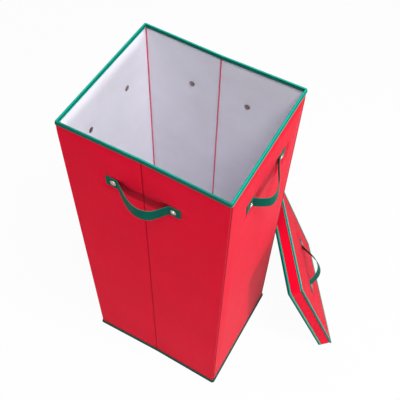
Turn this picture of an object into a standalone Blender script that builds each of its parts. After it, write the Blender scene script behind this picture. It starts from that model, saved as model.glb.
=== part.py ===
"""Tall folding box for rolls: cloth over board, bound edges, riveted strap handles and a loose lid.

Metres, +Z up. The origin is the middle of the underside. A creased wall faces -Y.
"""

import bmesh
import bpy
from math import asin, atan2, cos, pi, radians, sin, tan
from mathutils import Matrix, Vector

# Box, measured over its cloth
WIDTH = 0.330
DEPTH = 0.280
HEIGHT = 0.800
CORNER_RADIUS = 0.003
CREASE_SINK = 0.003        # how much further in the middle of the front and back walls lies
CREASE_GAP = 0.003         # bare cloth between the two boards of a creased wall

# Layers, from the outside in
CLOTH = 0.0010
BOARD = 0.0015             # in the box's walls
LINING = 0.0006
FIT = 0.0003               # left between pieces that touch
SEAM = 0.0014              # width of a seam's turned-in cloth
SEAM_STAND = 0.0006        # how far a crease seam stands out of the lining

# Binding tape, folded over the edges
TAPE = 0.0010
TAPE_FOLD = 0.0015         # radius of the fold
RIM_DROP = 0.0065          # how far the rim's tape comes down the walls
BASE_DROP = 0.010          # how far the base tape comes up the walls
BASE_LIP = 0.010           # how far the base tape reaches under the box
BASE_STAND = 0.0035        # how far the seam that it binds stands out of the walls
BASE_BEAD = 0.0040         # height of that seam

# Loose base board
INSERT_BOARD = 0.0025
INSERT_PLAY = 0.0035       # between its edge and the nearest lining
INSERT_RADIUS = 0.004

# Strap handles
HANDLE_DROP = 0.100        # from the rim to the rivets
STRAP_WIDTH = 0.025
STRAP = 0.0015             # thickness of the webbing
RIVET_REACH = 0.060        # from the middle of a handle to a rivet
TAB_REACH = 0.075          # from the middle of a handle to the strap's cut end
BOW_REACH = 0.053          # from the middle of a handle to where the strap leaves the wall
BOW_HEIGHT = 0.029
SPLIT_REACH = 0.037        # from the middle of a handle to where its loop bends
LOOP_DROOP = radians(8)

# Rivets
HEAD_RADIUS = 0.0055
HEAD_HEIGHT = 0.0024
SHANK_RADIUS = 0.0020
CAP_RADIUS = 0.0060        # of the flat cap on the inner end
CAP_HEIGHT = 0.0010
CAP_BEVEL = 0.0004

# Lid, which goes over the bound rim
LID_HEIGHT = 0.033
LID_PLAY = 0.0015          # between the rim's tape and the lid's
LID_RADIUS = 0.004
SIDE_BOARD = 0.0020
TOP_BOARD = 0.0025
LID_EDGE_DROP = 0.008      # how far the tape on its open edge reaches along its sides
LID_TOP_DROP = 0.005       # how far its top tape comes down the sides
LID_TOP_LIP = 0.005        # how far its top tape reaches over the top
LID_TOP_STAND = 0.0030     # how far the seam that it binds stands out of the sides
LID_TOP_BEAD = 0.0032      # height of that seam

# How the lid leans against the rear right edge of the box
LID_YAW = radians(35.5)
LID_LEAN = radians(21.1)
LID_SHIFT = 0.0105         # its middle lies this much nearer the front than the edge it leans on

# Steps of round shapes
ARC_STEPS = 4
BOW_STEPS = 32
DOME_STEPS = 5
RIVET_SIDES = 20
WELD = 0.000002
OVERRUN = 0.004            # how far a cutter reaches past what it cuts
OUTWARDS = (radians(90), 0, 0)    # turns a piece's +Z out of the wall, in a handle's own frame

# Depths into a box wall
BOARD_OUT = CLOTH + FIT
BOARD_IN = BOARD_OUT + BOARD
LINER_OUT = BOARD_IN + FIT
LINER_IN = LINER_OUT + LINING
TAPE_STAND = FIT + TAPE    # how far a tape stands out of the face that it covers

# Heights in the box
COVER_BOTTOM = TAPE + FIT
FLOOR_TOP = COVER_BOTTOM + CLOTH
BOARD_BOTTOM = FLOOR_TOP + FIT
WALL_TOP = HEIGHT - TAPE - FIT
SEAM_TOP = HEIGHT - RIM_DROP - FIT

# Lid sizes that follow the box
LID_BOARD_OUT = CLOTH + FIT
LID_BOARD_IN = LID_BOARD_OUT + SIDE_BOARD
LID_LINER_OUT = LID_BOARD_IN + FIT
LID_LINER_IN = LID_LINER_OUT + LINING
LID_MARGIN = TAPE_STAND + LID_PLAY + TAPE_STAND + LID_LINER_IN
LID_LENGTH = WIDTH + 2 * LID_MARGIN
LID_WIDTH = DEPTH + 2 * LID_MARGIN
LID_BOTTOM = TAPE + FIT
LID_TOP_BOARD_TOP = LID_HEIGHT - CLOTH - FIT
LID_TOP_BOARD_BOTTOM = LID_TOP_BOARD_TOP - TOP_BOARD
LID_LINER_TOP = LID_TOP_BOARD_BOTTOM - FIT
LID_GRIP = LID_HEIGHT - LID_LINER_TOP + LINING

# Colour, roughness and metallic value of each finish
FINISHES = {
    "red cloth": ((0.60, 0.012, 0.035), 0.85, 0.0),
    "green tape": ((0.005, 0.280, 0.210), 0.80, 0.0),
    "dark green tape": ((0.006, 0.040, 0.032), 0.80, 0.0),
    "green webbing": ((0.004, 0.120, 0.085), 0.75, 0.0),
    "white lining": ((0.70, 0.69, 0.74), 0.90, 0.0),
    "pink seam": ((0.62, 0.16, 0.20), 0.85, 0.0),
    "greyboard": ((0.33, 0.29, 0.24), 0.90, 0.0),
    "nickel": ((0.75, 0.75, 0.73), 0.25, 1.0),
}


def clear_scene():
    """Start from an empty scene."""
    for item in list(bpy.data.objects):
        bpy.data.objects.remove(item)


def new_collection(name):
    """A collection linked to the scene."""
    collection = bpy.data.collections.new(name)
    bpy.context.scene.collection.children.link(collection)
    return collection


clear_scene()
ORGANIZER = new_collection("gift_wrap_organizer")
CUTTERS = new_collection("cutters")


def material(name, finish):
    """A material of one finish."""
    colour, roughness, metallic = FINISHES[finish]
    result = bpy.data.materials.new(name)
    result.use_nodes = True
    shader = result.node_tree.nodes["Principled BSDF"]
    shader.inputs["Base Color"].default_value = (*colour, 1)
    shader.inputs["Roughness"].default_value = roughness
    shader.inputs["Metallic"].default_value = metallic
    return result


def place(name, mesh, finish, location=(0, 0, 0), rotation=(0, 0, 0), parent=None):
    """Put a mesh in the organizer as a named piece with a material of its own."""
    piece = bpy.data.objects.new(name, mesh)
    piece.location = location
    piece.rotation_euler = rotation
    piece.parent = parent
    mesh.materials.clear()
    mesh.materials.append(material(name, finish))
    ORGANIZER.objects.link(piece)
    return piece


def place_cutter(name, mesh, location=(0, 0, 0), rotation=(0, 0, 0), parent=None):
    """Put a mesh among the cutters, where it is drawn as wires and never rendered."""
    cutter = bpy.data.objects.new(name, mesh)
    cutter.location = location
    cutter.rotation_euler = rotation
    cutter.parent = parent
    cutter.display_type = "WIRE"
    cutter.hide_render = True
    CUTTERS.objects.link(cutter)
    return cutter


def place_empty(name, location, rotation=(0, 0, 0), parent=None):
    """An empty that carries other pieces."""
    empty = bpy.data.objects.new(name, None)
    empty.location = location
    empty.rotation_euler = rotation
    empty.parent = parent
    ORGANIZER.objects.link(empty)
    return empty


def solid_of(name, source):
    """The welded solid of an object as its modifiers and curve settings leave it. The object is removed."""
    CUTTERS.objects.link(source)
    depsgraph = bpy.context.evaluated_depsgraph_get()
    mesh = bpy.data.meshes.new_from_object(source.evaluated_get(depsgraph))
    mesh.name = name
    bpy.data.objects.remove(source)
    return closed(mesh)


def closed(mesh):
    """Weld a mesh where its parts meet, and turn its faces outwards."""
    shape = bmesh.new()
    shape.from_mesh(mesh)
    bmesh.ops.remove_doubles(shape, verts=shape.verts, dist=WELD)
    bmesh.ops.recalc_face_normals(shape, faces=shape.faces)
    shape.to_mesh(mesh)
    shape.free()
    return mesh


def cut(piece, cutter, operation="DIFFERENCE"):
    """Cut a piece with another shape, or keep only what lies inside that shape."""
    modifier = piece.modifiers.new(cutter.name, "BOOLEAN")
    modifier.object = cutter
    modifier.operation = operation


def rounded(corners, radius):
    """An outline with each corner rounded. A corner that is given as a crease stays sharp."""
    points = []
    for index, (x, y, is_crease) in enumerate(corners):
        corner = Vector((x, y))
        if is_crease:
            points.append(corner)
            continue
        back = (Vector(corners[index - 1][:2]) - corner).normalized()
        ahead = (Vector(corners[(index + 1) % len(corners)][:2]) - corner).normalized()
        half_angle = back.angle(ahead) / 2
        centre = corner + (back + ahead).normalized() * radius / sin(half_angle)
        first_arm = (corner + back * radius / tan(half_angle) - centre).normalized()
        last_arm = (corner + ahead * radius / tan(half_angle) - centre).normalized()
        for step in range(ARC_STEPS + 1):
            points.append(centre + first_arm.slerp(last_arm, step / ARC_STEPS) * radius)
    return points


def wall_y(x, inset):
    """How far the face of a creased wall lies from the middle of the box, at x and a depth into the wall."""
    sink = CREASE_SINK * (1 - abs(x) / (WIDTH / 2))
    return DEPTH / 2 - sink - inset / cos(atan2(CREASE_SINK, WIDTH / 2))


def box_outline(inset):
    """The plan of the box at a depth into its walls."""
    x = WIDTH / 2 - inset
    y = wall_y(x, inset)
    crease = wall_y(0, inset)
    right = [(x, -y, False), (x, y, False), (0, crease, True)]
    left = [(-x, y, False), (-x, -y, False), (0, -crease, True)]
    return rounded(right + left, max(CORNER_RADIUS - inset, FIT))


def rectangle(length, width, radius):
    """A rectangle with rounded corners, about the middle."""
    x = length / 2
    y = width / 2
    return rounded([(x, -y, False), (x, y, False), (-x, y, False), (-x, -y, False)], radius)


def lid_outline(inset):
    """The plan of the lid at a depth into its sides."""
    return rectangle(LID_LENGTH - 2 * inset, LID_WIDTH - 2 * inset, max(LID_RADIUS - inset, FIT))


def prism(name, outline, bottom, top):
    """A flat outline pulled up from bottom to top."""
    curve = bpy.data.curves.new(name, "CURVE")
    curve.dimensions = "2D"
    curve.fill_mode = "BOTH"
    curve.extrude = (top - bottom) / 2
    spline = curve.splines.new("POLY")
    spline.points.add(len(outline) - 1)
    spline.use_cyclic_u = True
    for point, (x, y) in zip(spline.points, outline):
        point.co = (x, y, 0, 1)
    mesh = solid_of(name, bpy.data.objects.new(name, curve))
    mesh.transform(Matrix.Translation((0, 0, (top + bottom) / 2)))
    return mesh


def mirrored(limits, side):
    """A pair of limits on the given side of the middle, lowest first."""
    return sorted(side * limit for limit in limits)


def block(x_range, y_range, z_range):
    """A box between the given limits."""
    sizes = [end - start for start, end in (x_range, y_range, z_range)]
    middle = [(start + end) / 2 for start, end in (x_range, y_range, z_range)]
    shape = bmesh.new()
    bmesh.ops.create_cube(shape, size=1, matrix=Matrix.Translation(middle) @ Matrix.Diagonal((*sizes, 1)))
    mesh = bpy.data.meshes.new("block")
    shape.to_mesh(mesh)
    shape.free()
    return mesh


def turned(name, profile):
    """A profile turned about Z. It runs down the outside, as distances from the axis and heights."""
    mesh = bpy.data.meshes.new(name)
    edges = [(index, index + 1) for index in range(len(profile) - 1)]
    mesh.from_pydata([(radius, 0, height) for radius, height in profile], edges, [])
    source = bpy.data.objects.new(name, mesh)
    screw = source.modifiers.new("turn", "SCREW")
    screw.axis = "Z"
    screw.steps = RIVET_SIDES
    screw.render_steps = RIVET_SIDES
    screw.use_merge_vertices = True
    screw.merge_threshold = WELD
    screw.use_smooth_shade = True
    return solid_of(name, source)


def lofted(name, section, outline_at, is_ring):
    """A section run round the plan: each of its points, an inset and a height, follows the plan there.

    A ring closes its section on itself. Any other shape is capped at its first and last points.
    """
    shape = bmesh.new()
    rings = []
    for inset, height in section:
        rings.append([shape.verts.new((x, y, height)) for x, y in outline_at(inset)])
    pairs = list(zip(rings, rings[1:]))
    if is_ring:
        pairs.append((rings[-1], rings[0]))
    else:
        shape.faces.new(rings[0])
        shape.faces.new(rings[-1])
    for lower, upper in pairs:
        for index in range(len(lower)):
            following = (index + 1) % len(lower)
            shape.faces.new((lower[index], lower[following], upper[following], upper[index]))
    mesh = bpy.data.meshes.new(name)
    shape.to_mesh(mesh)
    shape.free()
    return closed(mesh)


def sleeve(thickness, bottom, top):
    """Section of cloth that stands round the plan."""
    return [(0, bottom), (0, top), (thickness, top), (thickness, bottom)]


def folded_tape(depth, drop, edge, inside):
    """Section of a tape folded over an edge: its two legs reach back along the faces, inwards or outwards.

    depth is the thickness that it goes over, drop the reach of its legs and edge the height of its
    fold. inside is 1 where the legs hang down from the edge and -1 where they stand up from it.
    """
    outer = -TAPE_STAND
    inner = depth + TAPE_STAND
    end = edge - inside * drop
    channel = edge - inside * TAPE
    outside = [(outer, end, True), (outer, edge, False), (inner, edge, False), (inner, end, True)]
    channel_points = [(depth + FIT, end), (depth + FIT, channel), (-FIT, channel), (-FIT, end)]
    section = rounded([(channel_points[-1][0], end, True), *outside, (depth + FIT, end, True)], TAPE_FOLD)
    return section + channel_points[1:-1]


def edge_tape(leg, bead, edge, inside):
    """Section of a tape round a bound seam on an outer edge.

    leg is how far it reaches along the side and over the face, and bead is how far the seam stands out
    of the side and how high it is.
    """
    drop, lip = leg
    stand, height = bead
    end = edge - inside * drop
    shoulder = edge - inside * height
    channel = edge - inside * TAPE
    side = [(-FIT, end, True), (-TAPE_STAND, end, True), (-TAPE_STAND, shoulder, True)]
    seam = [(-stand, shoulder, False), (-stand, edge, False), (lip, edge, True)]
    return rounded(side + seam, TAPE_FOLD) + [(lip, channel), (-FIT, channel)]


def build_cover():
    """The cloth round the box, the cloth under it, and the tapes round its top and bottom edges."""
    walls = lofted("outer_cover", sleeve(CLOTH, COVER_BOTTOM, WALL_TOP), box_outline, True)
    floor_section = [
        (BASE_LIP + FIT, 0),
        (BASE_LIP + FIT, COVER_BOTTOM),
        (BOARD_OUT, COVER_BOTTOM),
        (BOARD_OUT, FLOOR_TOP),
    ]
    floor = lofted("bottom_cover", floor_section, box_outline, False)
    rim = lofted("rim_binding", folded_tape(LINER_IN, RIM_DROP, HEIGHT, 1), box_outline, True)
    base_section = edge_tape((BASE_DROP, BASE_LIP), (BASE_STAND, BASE_BEAD), 0, -1)
    base = lofted("base_binding", base_section, box_outline, True)
    place("bottom_cover", floor, "red cloth")
    place("rim_binding", rim, "green tape")
    place("base_binding", base, "dark green tape")
    return place("outer_cover", walls, "red cloth")


def creased_panel(side_x, side_y, faces, x_range, z_range):
    """A flat panel in half of a creased wall, between two depths into the wall."""
    outline = []
    for inset, ends in zip(faces, (x_range, reversed(x_range))):
        for x in ends:
            outline.append((side_x * x, side_y * wall_y(x, inset)))
    return prism("panel", outline, *z_range)


def build_walls():
    """The boards and the lining of each wall, by wall."""
    boards_z = (BOARD_BOTTOM, WALL_TOP)
    board_y = DEPTH / 2 - CORNER_RADIUS
    liner_x = WIDTH / 2 - LINER_OUT
    liner_y = wall_y(WIDTH / 2 - LINER_IN, LINER_IN) - FIT
    board_ends = (CREASE_GAP / 2, WIDTH / 2 - BOARD_IN - FIT)
    liner_ends = (SEAM / 2 + FIT, liner_x)
    walls = {}
    for name, side in (("left", -1), ("right", 1)):
        board_x = mirrored((WIDTH / 2 - BOARD_IN, WIDTH / 2 - BOARD_OUT), side)
        lining_x = mirrored((WIDTH / 2 - LINER_IN, liner_x), side)
        board = block(board_x, (-board_y, board_y), boards_z)
        liner = block(lining_x, (-liner_y, liner_y), boards_z)
        walls[name] = [
            place(f"{name}_board", board, "greyboard"),
            place(f"{name}_liner", liner, "white lining"),
        ]
    for name, side_y in (("front", -1), ("back", 1)):
        walls[name] = []
        for half, side_x in (("left", -1), ("right", 1)):
            board = creased_panel(side_x, side_y, (BOARD_OUT, BOARD_IN), board_ends, boards_z)
            liner = creased_panel(side_x, side_y, (LINER_OUT, LINER_IN), liner_ends, boards_z)
            walls[name].append(place(f"{name}_{half}_board", board, "greyboard"))
            walls[name].append(place(f"{name}_{half}_liner", liner, "white lining"))
    return walls


def build_seams():
    """The seams that show inside: one in each corner of the lining and one along each crease."""
    heights = (BOARD_BOTTOM, SEAM_TOP)
    corner_x = WIDTH / 2 - LINER_IN - FIT
    corner_y = wall_y(corner_x, LINER_IN) - FIT
    crease_y = (wall_y(0, LINER_IN + SEAM_STAND), wall_y(0, BOARD_OUT))
    for wall, side_y in (("front", -1), ("back", 1)):
        crease = block((-SEAM / 2, SEAM / 2), mirrored(crease_y, side_y), heights)
        place(f"{wall}_crease_seam", crease, "pink seam")
        for half, side_x in (("left", -1), ("right", 1)):
            x_range = mirrored((corner_x - SEAM, corner_x), side_x)
            y_range = mirrored((corner_y - SEAM, corner_y), side_y)
            place(f"{wall}_{half}_corner_seam", block(x_range, y_range, heights), "pink seam")


def build_insert():
    """The loose base board and the lining cloth that wraps its top and edges."""
    length = WIDTH - 2 * (LINER_IN + INSERT_PLAY)
    width = 2 * (wall_y(0, LINER_IN) - INSERT_PLAY)
    wrap = LINING + FIT
    top = BOARD_BOTTOM + INSERT_BOARD
    cover_outline = rectangle(length, width, INSERT_RADIUS)
    board_outline = rectangle(length - 2 * wrap, width - 2 * wrap, INSERT_RADIUS - wrap)
    hollow_outline = rectangle(length - 2 * LINING, width - 2 * LINING, INSERT_RADIUS - LINING)
    board = prism("base_insert_board", board_outline, BOARD_BOTTOM, top)
    cover = prism("base_insert_cover", cover_outline, BOARD_BOTTOM, top + wrap)
    hollow = prism("base_insert_hollow", hollow_outline, BOARD_BOTTOM - OVERRUN, top + FIT)
    place("base_insert_board", board, "greyboard")
    cut(place("base_insert_cover", cover, "white lining"), place_cutter("base_insert_hollow", hollow))


def strap_outline(origin_y):
    """The strap seen on its edge, in a handle's own plan, less the place that it is drawn about.

    Its middle line lies flat in the two tabs and bows out between them.
    """
    seat = FIT + STRAP / 2
    line = [Vector((-TAB_REACH, seat))]
    for step in range(BOW_STEPS + 1):
        angle = pi * (step / BOW_STEPS - 1 / 2)
        line.append(Vector((BOW_REACH * sin(angle), seat + BOW_HEIGHT * cos(angle) ** 3)))
    line.append(Vector((TAB_REACH, seat)))
    outer = []
    inner = []
    for index, point in enumerate(line):
        before = line[max(index - 1, 0)]
        after = line[min(index + 1, len(line) - 1)]
        along = (after - before).normalized()
        across = Vector((-along.y, along.x)) * STRAP / 2
        outer.append(point + across)
        inner.append(point - across)
    return [(x, -out - origin_y) for x, out in outer + inner[::-1]]


def hinge_out():
    """How far out of the wall a handle's loop bends: the strap's middle line at the split."""
    angle = asin(SPLIT_REACH / BOW_REACH)
    return FIT + STRAP / 2 + BOW_HEIGHT * cos(angle) ** 3


def rivet_profile(grip):
    """A double-cap rivet whose wall face is at height zero: a domed head, a shank and a flat inner cap."""
    under_head = FIT + STRAP + FIT
    cap_top = -(grip + FIT)
    cap_bottom = cap_top - CAP_HEIGHT
    dome_radius = (HEAD_RADIUS ** 2 + HEAD_HEIGHT ** 2) / (2 * HEAD_HEIGHT)
    dome_angle = asin(HEAD_RADIUS / dome_radius)
    profile = []
    for step in range(DOME_STEPS + 1):
        angle = dome_angle * step / DOME_STEPS
        height = under_head + HEAD_HEIGHT - dome_radius * (1 - cos(angle))
        profile.append((dome_radius * sin(angle), height))
    return profile + [
        (SHANK_RADIUS, under_head),
        (SHANK_RADIUS, cap_top),
        (CAP_RADIUS, cap_top),
        (CAP_RADIUS, cap_bottom + CAP_BEVEL),
        (CAP_RADIUS - CAP_BEVEL, cap_bottom),
        (0, cap_bottom),
    ]


def strap_piece(name, x_range, frame, location=(0, 0, 0), rotation=(0, 0, 0)):
    """The stretch of a handle's strap that lies in a range along the handle, as a piece of its own."""
    reach = BOW_HEIGHT + STRAP_WIDTH
    strap = prism(name, strap_outline(location[1]), -STRAP_WIDTH / 2, STRAP_WIDTH / 2)
    piece = place(name, strap, "green webbing", location, rotation, frame)
    stretch = block(x_range, (-reach, reach), (-reach, reach))
    cut(piece, place_cutter(f"{name}_stretch", stretch, location, parent=frame), "INTERSECT")
    return piece


def rivet_holes(side, frame):
    """The cutter for a handle's two rivet holes, through the strap and every layer of the wall."""
    reach = BOW_HEIGHT
    radius = SHANK_RADIUS + FIT
    holes = turned(f"{side}_rivet_holes", [(0, reach), (radius, reach), (radius, -reach), (0, -reach)])
    cutter = place_cutter(f"{side}_rivet_holes", holes, (RIVET_REACH, 0, 0), OUTWARDS, frame)
    pair = cutter.modifiers.new("pair", "MIRROR")
    pair.mirror_object = frame
    pair.merge_threshold = WELD
    return cutter


def build_handle(side, layers, grip, location, rotation, parent=None):
    """A strap riveted to a wall at both ends. Its loop turns about the line where the strap is bent.

    In the handle's own frame X runs along the strap, -Y points out of the wall, and Y is zero on it.
    """
    frame = place_empty(f"{side}_handle", location, rotation, parent)
    loop_reach = SPLIT_REACH - FIT
    hinge = (0, -hinge_out(), 0)
    strap_piece(f"{side}_strap_loop", (-loop_reach, loop_reach), frame, hinge, (LOOP_DROOP, 0, 0))
    holes = rivet_holes(side, frame)
    for half, side_x in (("left", -1), ("right", 1)):
        end_range = mirrored((SPLIT_REACH, TAB_REACH + OVERRUN), side_x)
        cut(strap_piece(f"{side}_strap_{half}_end", end_range, frame), holes)
        rivet = turned(f"{side}_{half}_rivet", rivet_profile(grip))
        place(f"{side}_{half}_rivet", rivet, "nickel", (side_x * RIVET_REACH, 0, 0), OUTWARDS, frame)
    for layer in layers:
        cut(layer, holes)


def build_box_handles(cover, walls):
    """One handle on each wall of the box, at one height."""
    height = HEIGHT - HANDLE_DROP
    creased_y = wall_y(TAB_REACH, 0)
    creased_grip = creased_y - wall_y(RIVET_REACH - CAP_RADIUS, LINER_IN)
    places = {
        "front": (creased_grip, (0, -creased_y, height), 0),
        "right": (LINER_IN, (WIDTH / 2, 0, height), 90),
        "back": (creased_grip, (0, creased_y, height), 180),
        "left": (LINER_IN, (-WIDTH / 2, 0, height), 270),
    }
    for side, (grip, location, turn) in places.items():
        build_handle(side, [cover, *walls[side]], grip, location, (0, 0, radians(turn)))


def lid_place():
    """Where the lid's open edge has its middle, as the lid stands on a short side and leans on the box."""
    away = Vector((cos(LID_YAW), sin(LID_YAW)))
    along = Vector((-sin(LID_YAW), cos(LID_YAW)))
    corner = Vector((WIDTH / 2 - CORNER_RADIUS, DEPTH / 2 - CORNER_RADIUS))
    fold_x = LID_LENGTH / 2 + TAPE_STAND - TAPE_FOLD
    fold_distance = corner.dot(away) + CORNER_RADIUS + FIT + TAPE_FOLD
    distance = fold_distance + fold_x * sin(LID_LEAN) - TAPE_FOLD * cos(LID_LEAN)
    height = TAPE_FOLD + fold_x * cos(LID_LEAN) - TAPE_FOLD * sin(LID_LEAN)
    middle = away * distance + along * (corner.dot(along) - LID_SHIFT)
    return (middle.x, middle.y, height)


def build_lid_sides(lid):
    """The four boards in the lid's sides."""
    heights = (LID_BOTTOM, LID_LINER_TOP)
    outer_x = LID_LENGTH / 2 - LID_BOARD_OUT
    inner_x = LID_LENGTH / 2 - LID_BOARD_IN
    outer_y = LID_WIDTH / 2 - LID_BOARD_OUT
    inner_y = LID_WIDTH / 2 - LID_BOARD_IN
    short_end = LID_WIDTH / 2 - LID_RADIUS
    long_end = inner_x - FIT
    boards = {
        "lid_lower_board": ((inner_x, outer_x), (-short_end, short_end)),
        "lid_upper_board": ((-outer_x, -inner_x), (-short_end, short_end)),
        "lid_near_board": ((-long_end, long_end), (-outer_y, -inner_y)),
        "lid_far_board": ((-long_end, long_end), (inner_y, outer_y)),
    }
    for name, (x_range, y_range) in boards.items():
        place(name, block(x_range, y_range, heights), "greyboard", parent=lid)


def build_lid():
    """The lid in its own frame, X down its length and Z out of its top, on an empty that leans it."""
    lid = place_empty("lid", lid_place(), (0, radians(90) - LID_LEAN, LID_YAW))
    side_top = LID_TOP_BOARD_TOP
    top_cover = prism("lid_top_cover", lid_outline(0), LID_HEIGHT - CLOTH, LID_HEIGHT)
    side_cover = lofted("lid_side_cover", sleeve(CLOTH, LID_BOTTOM, side_top), lid_outline, True)
    top_board = prism("lid_top_board", lid_outline(LID_BOARD_OUT), LID_TOP_BOARD_BOTTOM, side_top)
    liner = prism("lid_liner", lid_outline(LID_LINER_OUT), LID_BOTTOM, LID_LINER_TOP)
    hollow = prism("lid_hollow", lid_outline(LID_LINER_IN), LID_BOTTOM - OVERRUN, LID_LINER_TOP - LINING)
    edge_section = folded_tape(LID_LINER_IN, LID_EDGE_DROP, 0, -1)
    edge = lofted("lid_edge_binding", edge_section, lid_outline, True)
    bead = (LID_TOP_STAND, LID_TOP_BEAD)
    top_section = edge_tape((LID_TOP_DROP, LID_TOP_LIP), bead, LID_HEIGHT + TAPE_STAND, 1)
    top = lofted("lid_top_binding", top_section, lid_outline, True)
    place("lid_side_cover", side_cover, "red cloth", parent=lid)
    place("lid_edge_binding", edge, "green tape", parent=lid)
    place("lid_top_binding", top, "green tape", parent=lid)
    build_lid_sides(lid)
    layers = [
        place("lid_top_cover", top_cover, "red cloth", parent=lid),
        place("lid_top_board", top_board, "greyboard", parent=lid),
        place("lid_liner", liner, "white lining", parent=lid),
    ]
    cut(layers[-1], place_cutter("lid_hollow", hollow, parent=lid))
    across_lid = (radians(-90), 0, radians(90))
    build_handle("lid", layers, LID_GRIP, (0, 0, LID_HEIGHT), across_lid, lid)


def main():
    """Build the box, then the lid beside it."""
    cover = build_cover()
    walls = build_walls()
    build_seams()
    build_insert()
    build_box_handles(cover, walls)
    build_lid()


main()
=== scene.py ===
"""Looks of a tall folding box for rolls, with its strap handles and its loose lid.

Everything is in metres in the frame's own place. The box stands on the floor with a creased wall facing -Y.
"""

from math import atan2, ceil, copysign, cos, exp, hypot, pi, radians, sin, tan

import bmesh
import bpy
from bpy.props import FloatProperty, FloatVectorProperty, PointerProperty
from mathutils import Euler, Matrix, Vector, noise


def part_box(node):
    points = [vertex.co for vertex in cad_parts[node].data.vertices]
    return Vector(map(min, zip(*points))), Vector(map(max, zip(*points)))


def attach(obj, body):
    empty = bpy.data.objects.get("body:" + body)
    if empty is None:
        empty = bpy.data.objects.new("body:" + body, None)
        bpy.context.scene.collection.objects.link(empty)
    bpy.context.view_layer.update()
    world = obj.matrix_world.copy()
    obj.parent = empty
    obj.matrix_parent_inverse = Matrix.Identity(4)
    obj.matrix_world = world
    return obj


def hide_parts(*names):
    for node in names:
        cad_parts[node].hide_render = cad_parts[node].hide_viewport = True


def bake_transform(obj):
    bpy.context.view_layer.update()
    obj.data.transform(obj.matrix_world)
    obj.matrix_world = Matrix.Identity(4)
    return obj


bl_info = {
    "name": "Folding box for rolls",
    "version": (1, 0, 0),
    "blender": (4, 5, 0),
    "location": "View3D > Sidebar > Roll box",
    "description": "Dresses the box, its handles and its lid in cloth, tape, webbing and metal",
    "category": "Object",
}

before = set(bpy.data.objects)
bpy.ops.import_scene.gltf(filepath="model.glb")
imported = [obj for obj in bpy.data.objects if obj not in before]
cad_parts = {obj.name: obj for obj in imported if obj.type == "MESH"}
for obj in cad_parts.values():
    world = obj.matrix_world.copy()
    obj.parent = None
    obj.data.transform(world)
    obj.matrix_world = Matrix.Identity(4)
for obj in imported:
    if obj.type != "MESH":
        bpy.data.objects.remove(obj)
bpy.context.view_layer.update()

# Sizes that the frame gives
COVER_LOW, COVER_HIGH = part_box("outer_cover")
RIM_LOW, RIM_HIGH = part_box("rim_binding")
BASE_LOW, BASE_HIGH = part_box("base_binding")
LINER_LOW, LINER_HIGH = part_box("left_liner")
INSERT_LOW, INSERT_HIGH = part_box("base_insert_cover")
WIDTH = COVER_HIGH.x - COVER_LOW.x
DEPTH = COVER_HIGH.y - COVER_LOW.y
HEIGHT = RIM_HIGH.z
LINER_IN = LINER_HIGH.x - COVER_LOW.x
LINING = LINER_HIGH.x - LINER_LOW.x
TAPE_STAND = COVER_LOW.x - RIM_LOW.x
RIM_DROP = RIM_HIGH.z - RIM_LOW.z
BASE_DROP = BASE_HIGH.z - BASE_LOW.z
BASE_STAND = COVER_LOW.x - BASE_LOW.x

# Shape of the box in plan, with its cloth and its tapes
CORNER_RADIUS = 0.003
CREASE_SINK = 0.003            # how far a creased wall dips in at its crease
FIT = 0.0003                   # play between pieces, and the smallest radius of a corner
CLOTH = 0.0007
TAPE = 0.0010
BASE_LIP = 0.010               # how far the base tape reaches under the box
BASE_BEAD = 0.0040             # height of the seam that the base tape binds
UNDER_TAPE = 0.6               # share of a tape's drop at which the cloth ends under it
STITCHED_AT = 0.38             # share of a folded tape's drop at which it is stitched
EDGE_WAVE = 0.00012            # how far the edge of a tape wanders
STITCH_OUT = 0.0004            # how far stitches stand out of a folded tape
SEAM_STITCH_OUT = 0.0010       # and how far beside a bound seam
BASE_STITCH_UP = 0.0050        # height of the stitches of the base tape
RIM_SEED, BASE_SEED, LID_EDGE_SEED, LID_TOP_SEED = 1.3, 6.1, 9.4, 12.8    # one to each tape
FRONT_SHADE = 0.88               # share of painted shade on a tape's faces turned to the front
FRONT_FOLD_SHADE = 0.50              # and on the top of its fold over the front edge of the rim
WELT_RADIUS = 0.0012           # of the seams inside
BASE_CLOTH = 0.0019            # from the top of the cloth under the box to its underside
CREASE_HALF = 0.0015           # half the width of the groove in a crease
SEAM_INSET = 0.0036            # from a corner to the sewn groove on the side wall beside it
SEAM_HALF = 0.0026             # half the width of that groove
FINE_CORNERS = (5, 6, 12, 18, 19, 25)    # points of the plan beside which a groove runs
FINE_STEPS = (0.0005, 0.0010, 0.0015, 0.0020, 0.0026, 0.0034, 0.0046)

# Handles
HANDLE_HEIGHT = HEIGHT - 0.100
RIVET_REACH = 0.060            # reaches are from the middle of a strap
TAB_REACH = 0.075
BOW_REACH = 0.053
BOW_HEIGHT = 0.029
BOW_FULLNESS = 2.5
SPLIT_REACH = 0.037            # inner end of a tab, which is a piece of its own in the frame
STRAP_WIDTH = 0.025
WEBBING = 0.0015               # thickness of the webbing that a rivet goes over
TAB_STEPS = 9
LOOP_TILT = radians(-4)        # leans a loop's upper edge towards the wall
LOOP_SAG = 0.005
BOW_SKEW = {"front": 0.008, "right": -0.020, "back": -0.005, "left": 0.006, "lid": -0.010}

# Half sections of a rivet's head and cap, as (radius, height) from the axis out and back to it
HEAD_PROFILE = (
    (0, 0.0024), (0.0012, 0.00235), (0.0024, 0.0021), (0.0037, 0.0016), (0.0047, 0.0010),
    (0.0052, 0.0007), (0.0059, 0.0006), (0.0062, 0.0003), (0.0059, 0), (0.0020, 0),
)
SHANK_END = ((0.0020, -0.0050), (0, -0.0050))
CAP_PROFILE = (
    (0, -0.00115), (0.0030, -0.0011), (0.0052, -0.0009), (0.0060, -0.0005),
    (0.0060, -0.0001), (0.0020, 0), (0, 0.0001),
)

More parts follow.
